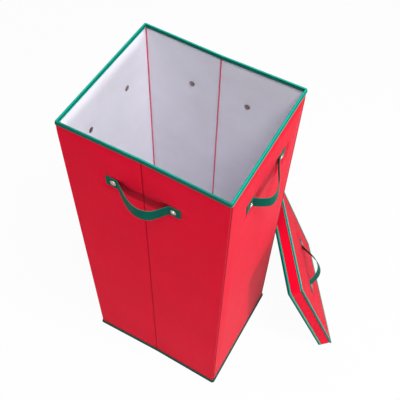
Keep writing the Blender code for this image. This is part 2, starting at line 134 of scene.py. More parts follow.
# Lid, which stands on a short side and leans on the rear right edge
LID_HEIGHT = 0.033
LID_PLAY = 0.0015
LID_RADIUS = 0.004
LID_LINER_OUT = 0.0036
LID_LINER_IN = LID_LINER_OUT + LINING
LID_LINER_TOP = 0.0289
LID_MARGIN = 2 * TAPE_STAND + LID_PLAY + LID_LINER_IN
LID_LENGTH = WIDTH + 2 * LID_MARGIN
LID_WIDTH = DEPTH + 2 * LID_MARGIN
LID_EDGE_DROP = 0.008
LID_TOP_DROP = 0.005
LID_TOP_LIP = 0.005
LID_TOP_STAND = 0.0030
LID_TOP_BEAD = 0.0032
LID_YAW = radians(35.5)
LID_LEAN = radians(21.1)
LID_PLACE = Matrix.Translation((0.221598, 0.166613, 0.162454))
LID_FRAME = LID_PLACE @ Euler((0, radians(90) - LID_LEAN, LID_YAW)).to_matrix().to_4x4()

# Stage
CAMERA_PLACE = (0.37766, -0.64996, 1.62309)
CAMERA_AZIMUTH = radians(27.659)
CAMERA_ELEVATION = radians(55.834)
CAMERA_ROLL = radians(2.1154)
CAMERA_LENS = 59.102
LAMP_AIM = Vector((0.05, 0, 0.55))
LAMPS = {                      # the place and the width of each lamp
    "right_lamp": ((2.90, 0.30, 1.00), 0.32),
    "front_lamp": ((0.30, -2.75, 0.78), 0.28),
    "top_lamp": ((0.80, -0.32, 3.00), 1.20),
    "low_lamp": ((1.05, 0.10, 0.16), 0.24),
}
FLOOR_REACH = 4.0
FLOOR_GLOW = 0.96              # share of plain white in the floor where it is seen directly

# Fineness of the pieces
ARC_STEPS = 5
CLOTH_STEP = 0.0050
TAPE_STEP = 0.0080
LINING_STEP = 0.0070
BOW_STEPS = 64
BASE_STEP = 0.0080
FLAT_STEP = 0.0100
RIVET_SIDES = 40
WELT_SIDES = 10
WELT_RINGS = 90
LID_SIDE_ROWS = 7

BOX_BOARDS = (
    "left_board",
    "right_board",
    "front_left_board",
    "front_right_board",
    "back_left_board",
    "back_right_board",
)
LID_SIDE_BOARDS = ("lid_upper_board", "lid_lower_board", "lid_near_board", "lid_far_board")

# Each box handle's turn about Z and the place on the wall that it is built on
CREASED_Y = DEPTH / 2 - CREASE_SINK * (1 - TAB_REACH / (WIDTH / 2))
HANDLES = {
    "front": (0, (0, -CREASED_Y, HANDLE_HEIGHT)),
    "right": (90, (WIDTH / 2, 0, HANDLE_HEIGHT)),
    "back": (180, (0, CREASED_Y, HANDLE_HEIGHT)),
    "left": (270, (-WIDTH / 2, 0, HANDLE_HEIGHT)),
}


def linear(code):
    """An sRGB colour, written as six hex digits, in the linear values that shaders take."""
    values = []
    for start in (0, 2, 4):
        share = int(code[start:start + 2], 16) / 255
        values.append(share / 12.92 if share <= 0.04045 else ((share + 0.055) / 1.055) ** 2.4)
    return (*values, 1.0)


def smooth(value):
    """0 below 0, 1 above 1 and an easy curve between."""
    value = min(max(value, 0.0), 1.0)
    return value * value * (3 - 2 * value)


def length_setting(label, text, value):
    """A length that the panel shows."""
    return FloatProperty(name=label, description=text, default=value, unit="LENGTH")


def colour_setting(label, text, code):
    """A colour that the panel shows, given as six hex digits."""
    return FloatVectorProperty(name=label, description=text, subtype="COLOR", size=4, default=linear(code))


def power_setting(label, text, value):
    """A lamp's power that the panel shows."""
    return FloatProperty(name=label, description=text, default=value, unit="POWER")


class RollBoxSizes(bpy.types.PropertyGroup):
    """Sizes of the cloth, thread and webbing."""

    fold_height: length_setting("Fold height", "How far the walls' soft upright folds stand off", 0.0011)
    pucker_height: length_setting("Pucker height", "How far the cloth ripples round each rivet", 0.0010)
    crease_depth: length_setting("Crease depth", "How deep the cloth dips between two boards", 0.0014)
    seam_depth: length_setting("Corner seam depth", "How deep it is sewn in beside each corner", 0.0009)
    bond_pitch: length_setting("Bond pitch", "Spacing of the dimples that bond the fibres", 0.0024)
    twill_pitch: length_setting("Twill pitch", "Spacing of the binding tape's slanting ribs", 0.0016)
    stitch_length: length_setting("Stitch length", "Length of one stitch of the binding", 0.0024)
    stitch_pitch: length_setting("Stitch pitch", "Distance from one stitch to the next", 0.0034)
    thread: length_setting("Thread", "Thickness of the sewing thread", 0.0005)
    strap_thickness: length_setting("Strap thickness", "Thickness of the webbing", 0.0013)
    rib_pitch: length_setting("Rib pitch", "Spacing of the webbing's cross ribs", 0.0018)


class RollBoxColours(bpy.types.PropertyGroup):
    """Colours of the finishes."""

    red: colour_setting("Red cloth", "Cloth of the walls, the base and the lid", "D1082B")
    green: colour_setting("Green tape", "Binding round the rim and the lid", "04A792")
    # The bottom tape is the green tape darkened as painted shade.
    dark_green: colour_setting("Dark green tape", "Binding round the bottom edge", "044E43")
    webbing: colour_setting("Webbing", "Handle straps", "005446")
    lining: colour_setting("Lining", "Pale cloth inside the box and the lid", "F0EEF7")
    seam: colour_setting("Seams inside", "Turned-in red cloth in corners and creases", "E2506C")
    board: colour_setting("Greyboard", "Stiffening boards", "9A9083")
    nickel: colour_setting("Nickel", "Plating of the rivets", "B9A59A")


class RollBoxLights(bpy.types.PropertyGroup):
    """Studio light."""

    right_lamp: power_setting("Right lamp", "Lamp that faces the right wall", 40.5)
    front_lamp: power_setting("Front lamp", "Lamp that faces the front wall", 29.5)
    top_lamp: power_setting("Top lamp", "Broad lamp high on the right, which lights the inside", 90.0)
    low_lamp: power_setting("Low lamp", "Small lamp near the floor, which faces the lid", 1.20)
    room: FloatProperty(name="Room light", description="Strength of the light from all round", default=0.12)


def add(tree, kind, inputs=None, **settings):
    """Add a node to a tree, set its properties, and fill or link its inputs."""
    node = tree.nodes.new(kind)
    for name, value in settings.items():
        setattr(node, name, value)
    for socket, value in (inputs or {}).items():
        if isinstance(value, bpy.types.NodeSocket):
            tree.links.new(value, node.inputs[socket])
        else:
            node.inputs[socket].default_value = value
    return node


def new_finish(name):
    """A new material with an empty tree."""
    finish = bpy.data.materials.new(name)
    finish.use_nodes = True
    finish.node_tree.nodes.clear()
    return finish, finish.node_tree


def shaded(colour, share):
    """A colour made darker or lighter."""
    return (*(min(value * share, 1.0) for value in colour[:3]), 1.0)


def maths(tree, operation, *values):
    """What a sum makes of its values, such as their product."""
    return add(tree, "ShaderNodeMath", dict(enumerate(values)), operation=operation).outputs["Value"]


def ranged(tree, value, low, high, to_low=0.0, to_high=1.0, **settings):
    """A value moved from one range to another."""
    inputs = {"Value": value, "From Min": low, "From Max": high, "To Min": to_low, "To Max": to_high}
    return add(tree, "ShaderNodeMapRange", inputs, **settings).outputs["Result"]


def mixed(tree, share, first, second):
    """A share of the way from one colour to another."""
    return add(tree, "ShaderNodeMix", {0: share, 6: first, 7: second}, data_type="RGBA").outputs[2]


def speckle(tree, place, scale, detail, roughness=0.5):
    """Cloudy noise, with its scale in clouds to the metre."""
    inputs = {"Vector": place, "Scale": scale, "Detail": detail, "Roughness": roughness}
    return add(tree, "ShaderNodeTexNoise", inputs).outputs["Fac"]


def bumped(tree, height, strength, distance, normal=None):
    """The normal over bumps, on top of another normal if one is given."""
    inputs = {"Strength": strength, "Distance": distance, "Height": height}
    if normal is not None:
        inputs["Normal"] = normal
    return add(tree, "ShaderNodeBump", inputs).outputs["Normal"]


def mapped(tree, **placing):
    """The UV map as it is, or turned or stretched."""
    uv = add(tree, "ShaderNodeUVMap", uv_map="UVMap").outputs["UV"]
    if not placing:
        return uv
    return add(tree, "ShaderNodeMapping", {"Vector": uv, **placing}).outputs["Vector"]


def surface(tree, colour, roughness, normal, more=None):
    """The shader that a tree ends in."""
    inputs = {"Base Color": colour, "Roughness": roughness, "Normal": normal, **(more or {})}
    shader = add(tree, "ShaderNodeBsdfPrincipled", inputs)
    add(tree, "ShaderNodeOutputMaterial", {"Surface": shader.outputs["BSDF"]})


def nap(specular, sheen, roughness, tint):
    """The shine and the sheen of a cloth's surface."""
    return {
        "Specular IOR Level": specular,
        "Sheen Weight": sheen,
        "Sheen Roughness": roughness,
        "Sheen Tint": tint,
    }


def spunbond_cloth(name, colour, sheen, specular):
    """Spunbond polypropylene: felted fibres pressed flat, with rows of bonded dimples.

    The eye gets a matt, slightly cloudy sheet with a fine dimpled grain and faint crumples. The real
    dimples are about 1 mm apart and are drawn 2.4 mm apart, so that the render shows them. A vertex
    attribute paints shade: it is 1 at the bottom of a crease or a seam, where the cloth is darkened.
    """
    finish, tree = new_finish(name)
    uv = mapped(tree)
    turned = mapped(tree, Rotation=(0, 0, radians(45)))
    bonds = {
        "Vector": turned,
        "Scale": 1 / bpy.context.scene.roll_box_sizes.bond_pitch,
        "Randomness": 0.2,
    }
    bonded = add(tree, "ShaderNodeTexVoronoi", bonds, voronoi_dimensions="2D").outputs["Distance"]
    dimples = ranged(tree, bonded, 0.12, 0.45, interpolation_type="SMOOTHSTEP")
    crumples = speckle(tree, mapped(tree, Scale=(1.0, 0.35, 1.0)), scale=34, detail=5, roughness=0.55)
    grain = maths(tree, "MULTIPLY_ADD", speckle(tree, uv, scale=1100, detail=3), 0.6, dimples)
    normal = bumped(tree, crumples, strength=0.55, distance=0.0016)
    normal = bumped(tree, grain, strength=0.35, distance=0.00025, normal=normal)
    clouds = speckle(tree, uv, scale=9, detail=4, roughness=0.6)
    cloudy = mixed(tree, clouds, shaded(colour, 0.90), shaded(colour, 1.08))
    # Painted shade: the middle of each dimple is a little darker, as if shaded in its hollow.
    dimpled = mixed(tree, ranged(tree, dimples, 0.0, 1.0, 0.10, 0.0), cloudy, shaded(colour, 0.55))
    # Painted shade: a vertex attribute darkens the cloth at the bottom of creases and seams.
    stitched = add(tree, "ShaderNodeAttribute", attribute_name="stitched").outputs["Fac"]
    shade_in_creases = mixed(tree, stitched, dimpled, shaded(colour, 0.30))
    bloom = (*(0.30 + 0.70 * channel for channel in colour[:3]), 1.0)
    surface(tree, shade_in_creases, 0.62, normal, nap(specular, sheen, roughness=0.3, tint=bloom))
    return finish


def twill_tape(name, colour):
    """Polyester twill binding, woven: ribs slant 1.6 mm apart, with painted shade along the line of its
    stitches.

    A vertex attribute paints shade: 1 in the valley that the stitches pull in, and less on the legs and
    front faces.
    """
    finish, tree = new_finish(name)
    slants = {
        "Vector": mapped(tree, Rotation=(0, 0, radians(38))),
        "Scale": 2 * pi / (20 * bpy.context.scene.roll_box_sizes.twill_pitch),
        "Distortion": 0.6,
        "Detail": 2,
    }
    ribs = add(tree, "ShaderNodeTexWave", slants, bands_direction="X").outputs["Fac"]
    folds = speckle(tree, mapped(tree), scale=60, detail=3)
    normal = bumped(tree, folds, strength=0.5, distance=0.0008)
    normal = bumped(tree, ribs, strength=0.4, distance=0.0002, normal=normal)
    worn = mixed(tree, folds, shaded(colour, 0.86), shaded(colour, 1.14))
    # Painted shade: a vertex attribute darkens the groove under the stitches, the legs and the faces turned
    # to the front.
    stitched = add(tree, "ShaderNodeAttribute", attribute_name="stitched").outputs["Fac"]
    coloured = mixed(tree, maths(tree, "MULTIPLY", stitched, 0.96), worn, shaded(colour, 0.10))
    surface(tree, coloured, 0.45, normal, nap(0.08, 0.10, roughness=0.35, tint=linear("00FFE0")))
    return finish


def sewing_thread(name, colour):
    """Twisted polyester thread, 0.5 mm thick: a fine diagonal twist and a soft shine."""
    finish, tree = new_finish(name)
    place = add(tree, "ShaderNodeTexCoord").outputs["Object"]
    twist = speckle(tree, place, scale=1400, detail=2)
    coloured = mixed(tree, twist, shaded(colour, 0.75), shaded(colour, 1.15))
    surface(tree, coloured, 0.5, bumped(tree, twist, strength=0.4, distance=0.0001))
    return finish


def webbing_strap(name, colour):
    """Polypropylene webbing, woven: cross ribs 1.8 mm apart in lengthwise rows, and paler selvedges.

    U runs along the strap and V across it from its middle, in metres.
    """
    pitch = bpy.context.scene.roll_box_sizes.rib_pitch
    finish, tree = new_finish(name)
    uv = mapped(tree)
    parts = add(tree, "ShaderNodeSeparateXYZ", {"Vector": uv}).outputs
    rows = maths(tree, "SINE", maths(tree, "MULTIPLY", parts["Y"], 2 * pi / (2.2 * pitch)))
    ribs = maths(tree, "SINE", maths(tree, "MULTIPLY_ADD", parts["X"], 2 * pi / pitch, rows))
    weave = ranged(tree, ribs, -1.0, 1.0)
    fuzz = speckle(tree, uv, scale=260, detail=4)
    normal = bumped(tree, weave, strength=0.7, distance=0.00035)
    normal = bumped(tree, fuzz, strength=0.3, distance=0.0004, normal=normal)
    thread = mixed(tree, weave, shaded(colour, 0.62), shaded(colour, 1.12))
    edge = STRAP_WIDTH / 2
    selvedge = ranged(tree, maths(tree, "ABSOLUTE", parts["Y"]), edge - 0.0018, edge - 0.0004, 0.0, 0.6)
    worn = mixed(tree, selvedge, thread, shaded(colour, 1.9))
    surface(tree, worn, 0.42, normal, nap(0.02, 0.06, roughness=0.35, tint=linear("00FFD0")))
    return finish


def stamped_nickel(name, colour):
    """Nickel-plated steel, stamped and set: bright, with dents about 2 mm wide in its reflections."""
    finish, tree = new_finish(name)
    place = add(tree, "ShaderNodeTexCoord").outputs["Object"]
    dents = speckle(tree, place, scale=420, detail=2)
    scuffs = speckle(tree, place, scale=1500, detail=4)
    dull = ranged(tree, scuffs, 0.0, 1.0, 0.16, 0.36)
    plated = mixed(tree, dents, shaded(colour, 0.70), colour)
    normal = bumped(tree, dents, strength=0.8, distance=0.0008)
    surface(tree, plated, dull, normal, {"Metallic": 1.0})
    return finish


def pressed_greyboard(name, colour):
    """Greyboard, pressed from waste paper: matt and flecked, with short fibres about 2 mm long."""
    finish, tree = new_finish(name)
    place = add(tree, "ShaderNodeTexCoord").outputs["Object"]
    fibres = speckle(tree, place, scale=500, detail=4)
    flecks = add(tree, "ShaderNodeTexVoronoi", {"Vector": place, "Scale": 260}).outputs["Distance"]
    grey = mixed(tree, fibres, shaded(colour, 0.75), shaded(colour, 1.2))
    flecked = mixed(tree, flecks, shaded(colour, 0.6), grey)
    surface(tree, flecked, 0.9, bumped(tree, fibres, strength=0.3, distance=0.0002))
    return finish


def finish_named(name):
    """One of the finishes, made the first time that it is asked for."""
    made = bpy.data.materials.get(name)
    if made:
        return made
    colours = bpy.context.scene.roll_box_colours
    makers = {
        "red_spunbond_cloth": (spunbond_cloth, colours.red, 0.14, 0.03),
        "pale_spunbond_lining": (spunbond_cloth, colours.lining, 0.05, 0.20),
        "pink_seam_cloth": (spunbond_cloth, colours.seam, 0.05, 0.15),
        "green_twill_tape": (twill_tape, colours.green),
        # The bottom tape is the green tape darkened as painted shade, and its thread is darker still.
        "dark_green_twill_tape": (twill_tape, colours.dark_green),
        "green_polyester_thread": (sewing_thread, shaded(tuple(colours.green), 0.45)),
        "dark_polyester_thread": (sewing_thread, shaded(tuple(colours.dark_green), 0.7)),
        "green_woven_webbing": (webbing_strap, colours.webbing),
        "stamped_nickel_plate": (stamped_nickel, colours.nickel),
        "pressed_greyboard": (pressed_greyboard, colours.board),
    }
    make, colour, *shine = makers[name]
    return make(name, tuple(colour), *shine)


def rounded(corners, radius):
    """An outline with each corner rounded. A corner that is given as a crease stays sharp."""
    points = []
    for index, (x, y, is_crease) in enumerate(corners):
        corner = Vector((x, y))
        if is_crease:
            points.append(corner)
            continue
        back = (Vector(corners[index - 1][:2]) - corner).normalized()
        ahead = (Vector(corners[(index + 1) % len(corners)][:2]) - corner).normalized()
        half_angle = back.angle(ahead) / 2
        centre = corner + (back + ahead).normalized() * radius / sin(half_angle)
        first_arm = (corner + back * radius / tan(half_angle) - centre).normalized()
        last_arm = (corner + ahead * radius / tan(half_angle) - centre).normalized()
        for step in range(ARC_STEPS + 1):
            points.append(centre + first_arm.slerp(last_arm, step / ARC_STEPS) * radius)
    return points


def wall_y(x, inset):
    """How far a creased wall's face lies from the middle of the box, at x and a depth into the wall."""
    sink = CREASE_SINK * (1 - abs(x) / (WIDTH / 2))
    return DEPTH / 2 - sink - inset / cos(atan2(CREASE_SINK, WIDTH / 2))


def box_plan(inset):
    """The plan of the box at a depth into its walls."""
    x = WIDTH / 2 - inset
    y = wall_y(x, inset)
    crease = wall_y(0, inset)
    right = [(x, -y, False), (x, y, False), (0, crease, True)]
    left = [(-x, y, False), (-x, -y, False), (0, -crease, True)]
    return rounded(right + left, max(CORNER_RADIUS - inset, FIT))


def rectangle(length, width, radius):
    """A rectangle with rounded corners, about the middle."""
    x = length / 2
    y = width / 2
    return rounded([(x, -y, False), (x, y, False), (-x, y, False), (-x, -y, False)], radius)


def lid_plan(inset):
    """The plan of the lid, in its own frame, at a depth into its sides."""
    return rectangle(LID_LENGTH - 2 * inset, LID_WIDTH - 2 * inset, max(LID_RADIUS - inset, FIT))


def insert_plan(inset):
    """The plan of the loose base board at a depth into its edge."""
    size = INSERT_HIGH - INSERT_LOW
    return rectangle(size.x - 2 * inset, size.y - 2 * inset, max(LID_RADIUS - inset, FIT))


def stations(plan, step, fine=()):
    """Places round a plan, each as a corner's index and a share of the way to the next corner.

    They lie closer together beside the corners that are named as fine.
    """
    places = []
    for index, start in enumerate(plan):
        following = (index + 1) % len(plan)
        length = (plan[following] - start).length
        count = max(1, ceil(length / step))
        distances = {length * number / count for number in range(count)}
        if index in fine:
            distances.update(gap for gap in FINE_STEPS if gap < length)
        if following in fine:
            distances.update(length - gap for gap in FINE_STEPS if gap < length)
        places.extend((index, distance / length) for distance in sorted(distances))
    return places


def follow(plan, places):
    """The points of a plan at the given places."""
    return [plan[index].lerp(plan[(index + 1) % len(plan)], share) for index, share in places]


def outwards(points):
    """The outward direction at each point of a plan."""
    directions = []
    for index in range(len(points)):
        along = points[(index + 1) % len(points)] - points[index - 1]
        directions.append(Vector((along.y, -along.x)).normalized())
    return directions


def lengths_along(points):
    """The distance from the first point to each one, and once round to the first again."""
    lengths = [0.0]
    for index, point in enumerate(points):
        following = points[(index + 1) % len(points)]
        lengths.append(lengths[-1] + (Vector(following) - Vector(point)).length)
    return lengths


def uneven(x, y, z):
    """Smooth noise from 0 to 1."""
    return 0.5 + 0.5 * noise.noise(Vector((x, y, z)))


def rows_of(shape, rings):
    """Rings of points put into a shape, each as a row of its vertices."""
    return [[shape.verts.new(point) for point in ring] for ring in rings]


def bridge(shape, rows, spans, uv_map=None, uv_at=None):
    """Faces between closed rows. Each span is a pair of row numbers, and the numbers count on round.

    uv_at gives the place on the UV map of a row's number and a vertex's number in the row.
    """
    for lower, upper in spans:
        below = rows[lower]
        above = rows[upper % len(rows)]
        for index in range(len(below)):
            following = (index + 1) % len(below)
            face = shape.faces.new((below[index], below[following], above[following], above[index]))
            if uv_at:
                corners = ((lower, index), (lower, index + 1), (upper, index + 1), (upper, index))
                for loop, corner in zip(face.loops, corners):
                    loop[uv_map].uv = uv_at(*corner)


def steps(count):
    """Each number below count with the one after it."""
    return [(index, index + 1) for index in range(count)]


def loft(name, rings, is_ring, marks=None):
    """A skin over rings of points, closed on itself or capped at its first and last rings.

    Its UV map runs round the rings and across them, in metres. Marks give each ring's share of painted
    shade.
    """
    shape = bmesh.new()
    uv_map = shape.loops.layers.uv.new("UVMap")
    stitched = shape.verts.layers.float.new("stitched")
    rows = rows_of(shape, rings)
    for row, mark in zip(rows, marks or [0.0] * len(rows)):
        for vertex in row:
            vertex[stitched] = mark
    along = lengths_along(rings[0])
    across = [0.0]
    for lower, upper in zip(rings, rings[1:] + rings[:1]):
        across.append(across[-1] + (Vector(upper[0]) - Vector(lower[0])).length)
    if not is_ring:
        shape.faces.new(rows[0])
        shape.faces.new(rows[-1])
    spans = steps(len(rows) if is_ring else len(rows) - 1)
    bridge(shape, rows, spans, uv_map, lambda row, place: (along[place], across[row]))
    return closed(name, shape)


def closed(name, shape):
    """A smooth mesh of a closed shape, with its faces turned outwards."""
    bmesh.ops.recalc_face_normals(shape, faces=shape.faces)
    mesh = bpy.data.meshes.new(name)
    shape.to_mesh(mesh)
    shape.free()
    mesh.shade_smooth()
    mesh.set_sharp_from_angle(angle=radians(42))
    return mesh


def unwrap_flat(mesh):
    """Lay the pattern on from whichever side each face looks to, in metres."""
    uv_map = mesh.uv_layers.get("UVMap") or mesh.uv_layers.new(name="UVMap")
    for face in mesh.polygons:
        sides = [abs(value) for value in face.normal]
        up = sides.index(max(sides))
        first, second = ((1, 2), (0, 2), (0, 1))[up]
        for loop_index in face.loop_indices:
            point = mesh.vertices[mesh.loops[loop_index].vertex_index].co
            uv_map.data[loop_index].uv = (point[first], point[second])
    return mesh


def panel(name, origin, across, up, sizes, thickness, step, relief):
    """A sheet in a rectangle: its front is a fine grid with relief, and its back is flat.

    across and up are unit vectors, and their cross product is the way that the front faces.
    """
    out = across.cross(up)
    counts = [max(1, ceil(size / step)) for size in sizes]
    shape = bmesh.new()
    grid = []
    for row in range(counts[1] + 1):
        line = []
        for column in range(counts[0] + 1):
            x = sizes[0] * column / counts[0]
            y = sizes[1] * row / counts[1]
            point = origin + across * x + up * y
            line.append(shape.verts.new(point + out * relief(x, y)))
        grid.append(line)
    for lower, upper in zip(grid, grid[1:]):
        for column in range(counts[0]):
            shape.faces.new((lower[column], lower[column + 1], upper[column + 1], upper[column]))
    border = list(grid[0])
    border.extend(line[-1] for line in grid[1:])
    border.extend(reversed(grid[-1][:-1]))
    border.extend(line[0] for line in reversed(grid[1:-1]))
    behind = []
    for vertex in border:
        place = vertex.co - origin
        flat = origin + across * place.dot(across) + up * place.dot(up)
        behind.append(shape.verts.new(flat - out * thickness))
    for index in range(len(border)):
        following = (index + 1) % len(border)
        shape.faces.new((border[following], border[index], behind[index], behind[following]))
    shape.faces.new(list(reversed(behind)))
    return unwrap_flat(closed(name, shape))


def add_piece(name, mesh, finish, body=None, nodes=()):
    """Put a finished mesh in the scene as a piece that rides on a body and stands for CAD nodes."""
    piece = bpy.data.objects.new(name, mesh)
    bpy.context.scene.collection.objects.link(piece)
    mesh.materials.clear()
    mesh.materials.append(finish_named(finish))
    if body:
        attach(piece, body)
    if nodes:
        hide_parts(*nodes)
    return piece


def handle_frame(side):
    """A handle's own frame: X along the strap, -Y out of the wall, and Y zero on it."""
    if side == "lid":
        across_lid = Euler((radians(-90), 0, radians(90))).to_matrix().to_4x4()
        return LID_FRAME @ Matrix.Translation((0, 0, LID_HEIGHT)) @ across_lid
    turn, location = HANDLES[side]
    return Matrix.Translation(location) @ Matrix.Rotation(radians(turn), 4, "Z")


def tab_clear(x, y, edge=0.012):
    """0 under a strap's two tabs, where the cloth lies flat, and 1 beyond the edge round them."""
    tab = smooth((abs(y) - STRAP_WIDTH / 2 - 0.001) / edge)
    before = smooth((SPLIT_REACH - 0.002 - abs(x)) / edge)
    after = smooth((abs(x) - TAB_REACH - 0.001) / edge)
    return max(tab, before, after)


def puckers(x, y, height):
    """Ripples of the cloth round two rivets, x along the strap and y across it, from the middle."""
    total = 0.0
    for side in (-1, 1):
        reach = hypot(x - side * RIVET_REACH, y)
        angle = atan2(y, x - side * RIVET_REACH)
        drift = 2.5 * noise.noise(Vector((3 * cos(angle), 3 * sin(angle), 4.7 * side)))
        wave = 0.5 + 0.5 * cos(6 * angle + drift + 30 * reach)
        total += height * wave * exp(-((reach - 0.020) / 0.020) ** 2)
    return total * tab_clear(x, y, 0.006)


def sewn_in(point, is_creased):
    """How deep wall cloth lies in a crease or a corner seam, from 0 to 1, which also paints shade there."""
    if is_creased:
        return 0.8 * max(0.0, 1 - (point.x / CREASE_HALF) ** 2)
    return min(1.3, 2.4 * max(0.0, 1 - ((DEPTH / 2 - SEAM_INSET - abs(point.y)) / SEAM_HALF) ** 2))


def wall_relief(point, out, sizes):
    """How far a wall's red cloth stands off its flat place, and how deep it lies in a seam, where shade is
    painted.
    """
    is_creased = abs(out.y) > abs(out.x)
    if is_creased:
        along = -point.x * copysign(1, out.y)
        reach = WIDTH / 2
        seed = 3.1 + copysign(1, out.y)
    else:
        along = point.y * copysign(1, out.x)
        reach = DEPTH / 2
        seed = 11.7 + copysign(1, out.x)
    inwards = reach - abs(along)
    height = point.z - HANDLE_HEIGHT
    low = smooth((point.z - BASE_DROP - 0.002) / 0.030)
    high = smooth((RIM_LOW.z - 0.001 - point.z) / 0.020)
    corner = smooth((inwards - 0.007) / 0.020)
    broad = uneven(along * 9 + point.z * 3, point.z * 3 - along * 4, seed + 9)
    folds = uneven(along * 24, point.z * 3.2, seed)
    waves = uneven(along * 60, point.z * 7.0, seed + 5)
    loose = 1.2 if is_creased else 2.6
    relief = sizes.fold_height * (loose * broad + 0.5 * folds + 0.3 * waves) * tab_clear(along, height)
    relief += puckers(along, height, sizes.pucker_height)
    relief *= low * high * corner
    sewn = sewn_in(point, is_creased) * smooth((RIM_LOW.z + 0.002 - point.z) / 0.004)
    if is_creased:
        relief = relief * smooth(abs(along) / 0.014) - sizes.crease_depth * sewn
        relief += 0.0004 * exp(-((abs(along) - 0.0042) / 0.0018) ** 2) * low * high
    else:
        relief -= sizes.seam_depth * sewn
    relief += 0.0009 * exp(-(inwards / 0.0024) ** 2) * smooth((point.z - BASE_DROP) / 0.006) * high
    return relief, sewn


def paint_front_shade(mesh):
    """Paints shade on a tape's faces that are turned to the front, and on the top of its fold at the front
    edge.
    """
    for vertex, mark in zip(mesh.vertices, mesh.attributes["stitched"].data):
        to_front = FRONT_SHADE * max(0.0, -vertex.normal.y)
        if vertex.co.y < LINER_IN - DEPTH / 2:
            to_front += FRONT_FOLD_SHADE * max(0.0, vertex.normal.z)
        mark.value += (1.0 - mark.value) * min(to_front, FRONT_SHADE)


def ring_at(plan, places, z, wave=0.0, seed=0.0):
    """A ring of points round a plan at one height, a little uneven if a wave is given."""
    points = []
    for point in follow(plan, places):
        drift = wave * noise.noise(Vector((point.x * 30, point.y * 30, seed)))
        points.append(Vector((point.x, point.y, z + drift)))
    return points


def rim_section(depth, drop, edge, inside):
    """A tape folded over an edge, as (inset, height, painted shade) round its section.

    depth is the thickness that it goes over, drop the reach of its legs and edge the height of its
    fold. inside is 1 where the legs hang down from the edge and -1 where they stand up from it. Above
    the stitches the legs lean in to a narrow round fold, which has no board in it.
    """
    # The third value paints shade on the tape: darkest in the groove under the stitches, lighter on the leg
    # and the fold.
    leg = [
        (0.0002, 1.00, 0.5),
        (0.0008, 1.00, 0.4),
        (0.0011, 0.95, 0.2),
        (0.0011, 0.70, 0.2),
        (0.0009, 0.58, 0.4),
        (0.0004, 0.52, 0.9),
        (0.0002, 0.46, 1.0),
        (0.0002, 0.34, 1.0),
        (0.0002, 0.22, 1.0),
        (0.0003, 0.16, 1.0),
        (0.0003, 0.12, 0.9),
        (0.0001, 0.08, 0.7),
        (-0.0006, 0.03, 0.4),
        (-0.0013, 0.01, 0.1),
    ]
    shoulder = edge - inside * 0.3 * drop
    channel = edge - inside * TAPE
    outer = [(-stand, edge - inside * share * drop, mark) for stand, share, mark in leg]
    inner = [(depth - inset, height, mark) for inset, height, mark in reversed(outer)]
    inner.insert(0, (depth / 2, edge, 0.0))
    inner.extend([(depth, shoulder, 0.0), (depth - TAPE, channel, 0.0)])
    inner.extend([(TAPE, channel, 0.0), (0.0, shoulder, 0.0)])
    return outer + inner


def edge_section(leg, bead, edge, inside):
    """A tape round a bound seam on an outer edge, as (inset, height, painted shade) round its section.

    leg is how far it reaches along the side and over the face, and bead is how far the seam stands out
    of the side and how high it is.
    """
    drop, lip = leg
    stand, height = bead
    flat = drop - height
    # The third value paints shade on the tape, darkest in the groove just above the bead.
    side = [
        (0.0002, drop, 0.3),
        (0.0008, drop, 0.2),
        (0.0011, drop - 0.10 * flat, 0.1),
        (0.0011, drop - 0.45 * flat, 0.2),
        (0.0008, drop - 0.70 * flat, 0.8),
        (0.0008, drop - 0.95 * flat, 1.0),
        (0.55 * stand, 0.88 * height, 0.4),
        (0.90 * stand, 0.66 * height, 0.0),
        (stand, 0.42 * height, 0.0),
        (0.92 * stand, 0.20 * height, 0.0),
        (0.70 * stand, 0.05 * height, 0.0),
        (0.40 * stand, 0.0, 0.0),
    ]
    channel = edge - inside * TAPE
    section = [(-out, edge - inside * place, mark) for out, place, mark in side]
    section.extend([(0.0004, edge, 0.0), (lip * 0.5, edge, 0.0)])
    section.append((lip - 0.0006, edge - inside * 0.0001, 0.0))
    section.append((lip, edge - inside * 0.0004, 0.0))
    section.extend([(lip, channel, 0.0), (-FIT, channel, 0.0)])
    return section


def tape_mesh(name, section, plan_at, places, seed):
    """A tape run round a plan along its section, with a faintly uneven edge."""
    rings = [ring_at(plan_at(inset), places, height, EDGE_WAVE, seed) for inset, height, _ in section]
    return loft(name, rings, True, [mark for *_, mark in section])


def new_group(name, kinds, result):
    """A node group with inputs of these kinds and one geometry for its result."""
    tree = bpy.data.node_groups.new(name, "GeometryNodeTree")
    tree.is_modifier = True
    for label, kind in kinds.items():
        socket = tree.interface.new_socket(label, in_out="INPUT", socket_type=f"NodeSocket{kind}")
        if kind == "Float":
            socket.subtype = "DISTANCE"
    tree.interface.new_socket(result, in_out="OUTPUT", socket_type="NodeSocketGeometry")
    return tree, add(tree, "NodeGroupInput").outputs


def stood(tree, points, piece, way, **more):
    """A copy of a piece on each point, with its Z turned along a direction."""
    turn = add(tree, "FunctionNodeAlignRotationToVector", {"Vector": way}, axis="Z").outputs["Rotation"]
    inputs = {"Points": points, "Instance": piece, "Rotation": turn, **more}
    return add(tree, "GeometryNodeInstanceOnPoints", inputs).outputs["Instances"]


def dressed(tree, copies, finish):
    """The copies as one mesh with a finish."""
    whole = add(tree, "GeometryNodeRealizeInstances", {"Geometry": copies}).outputs["Geometry"]
    return add(tree, "GeometryNodeSetMaterial", {"Geometry": whole, "Material": finish}).outputs["Geometry"]


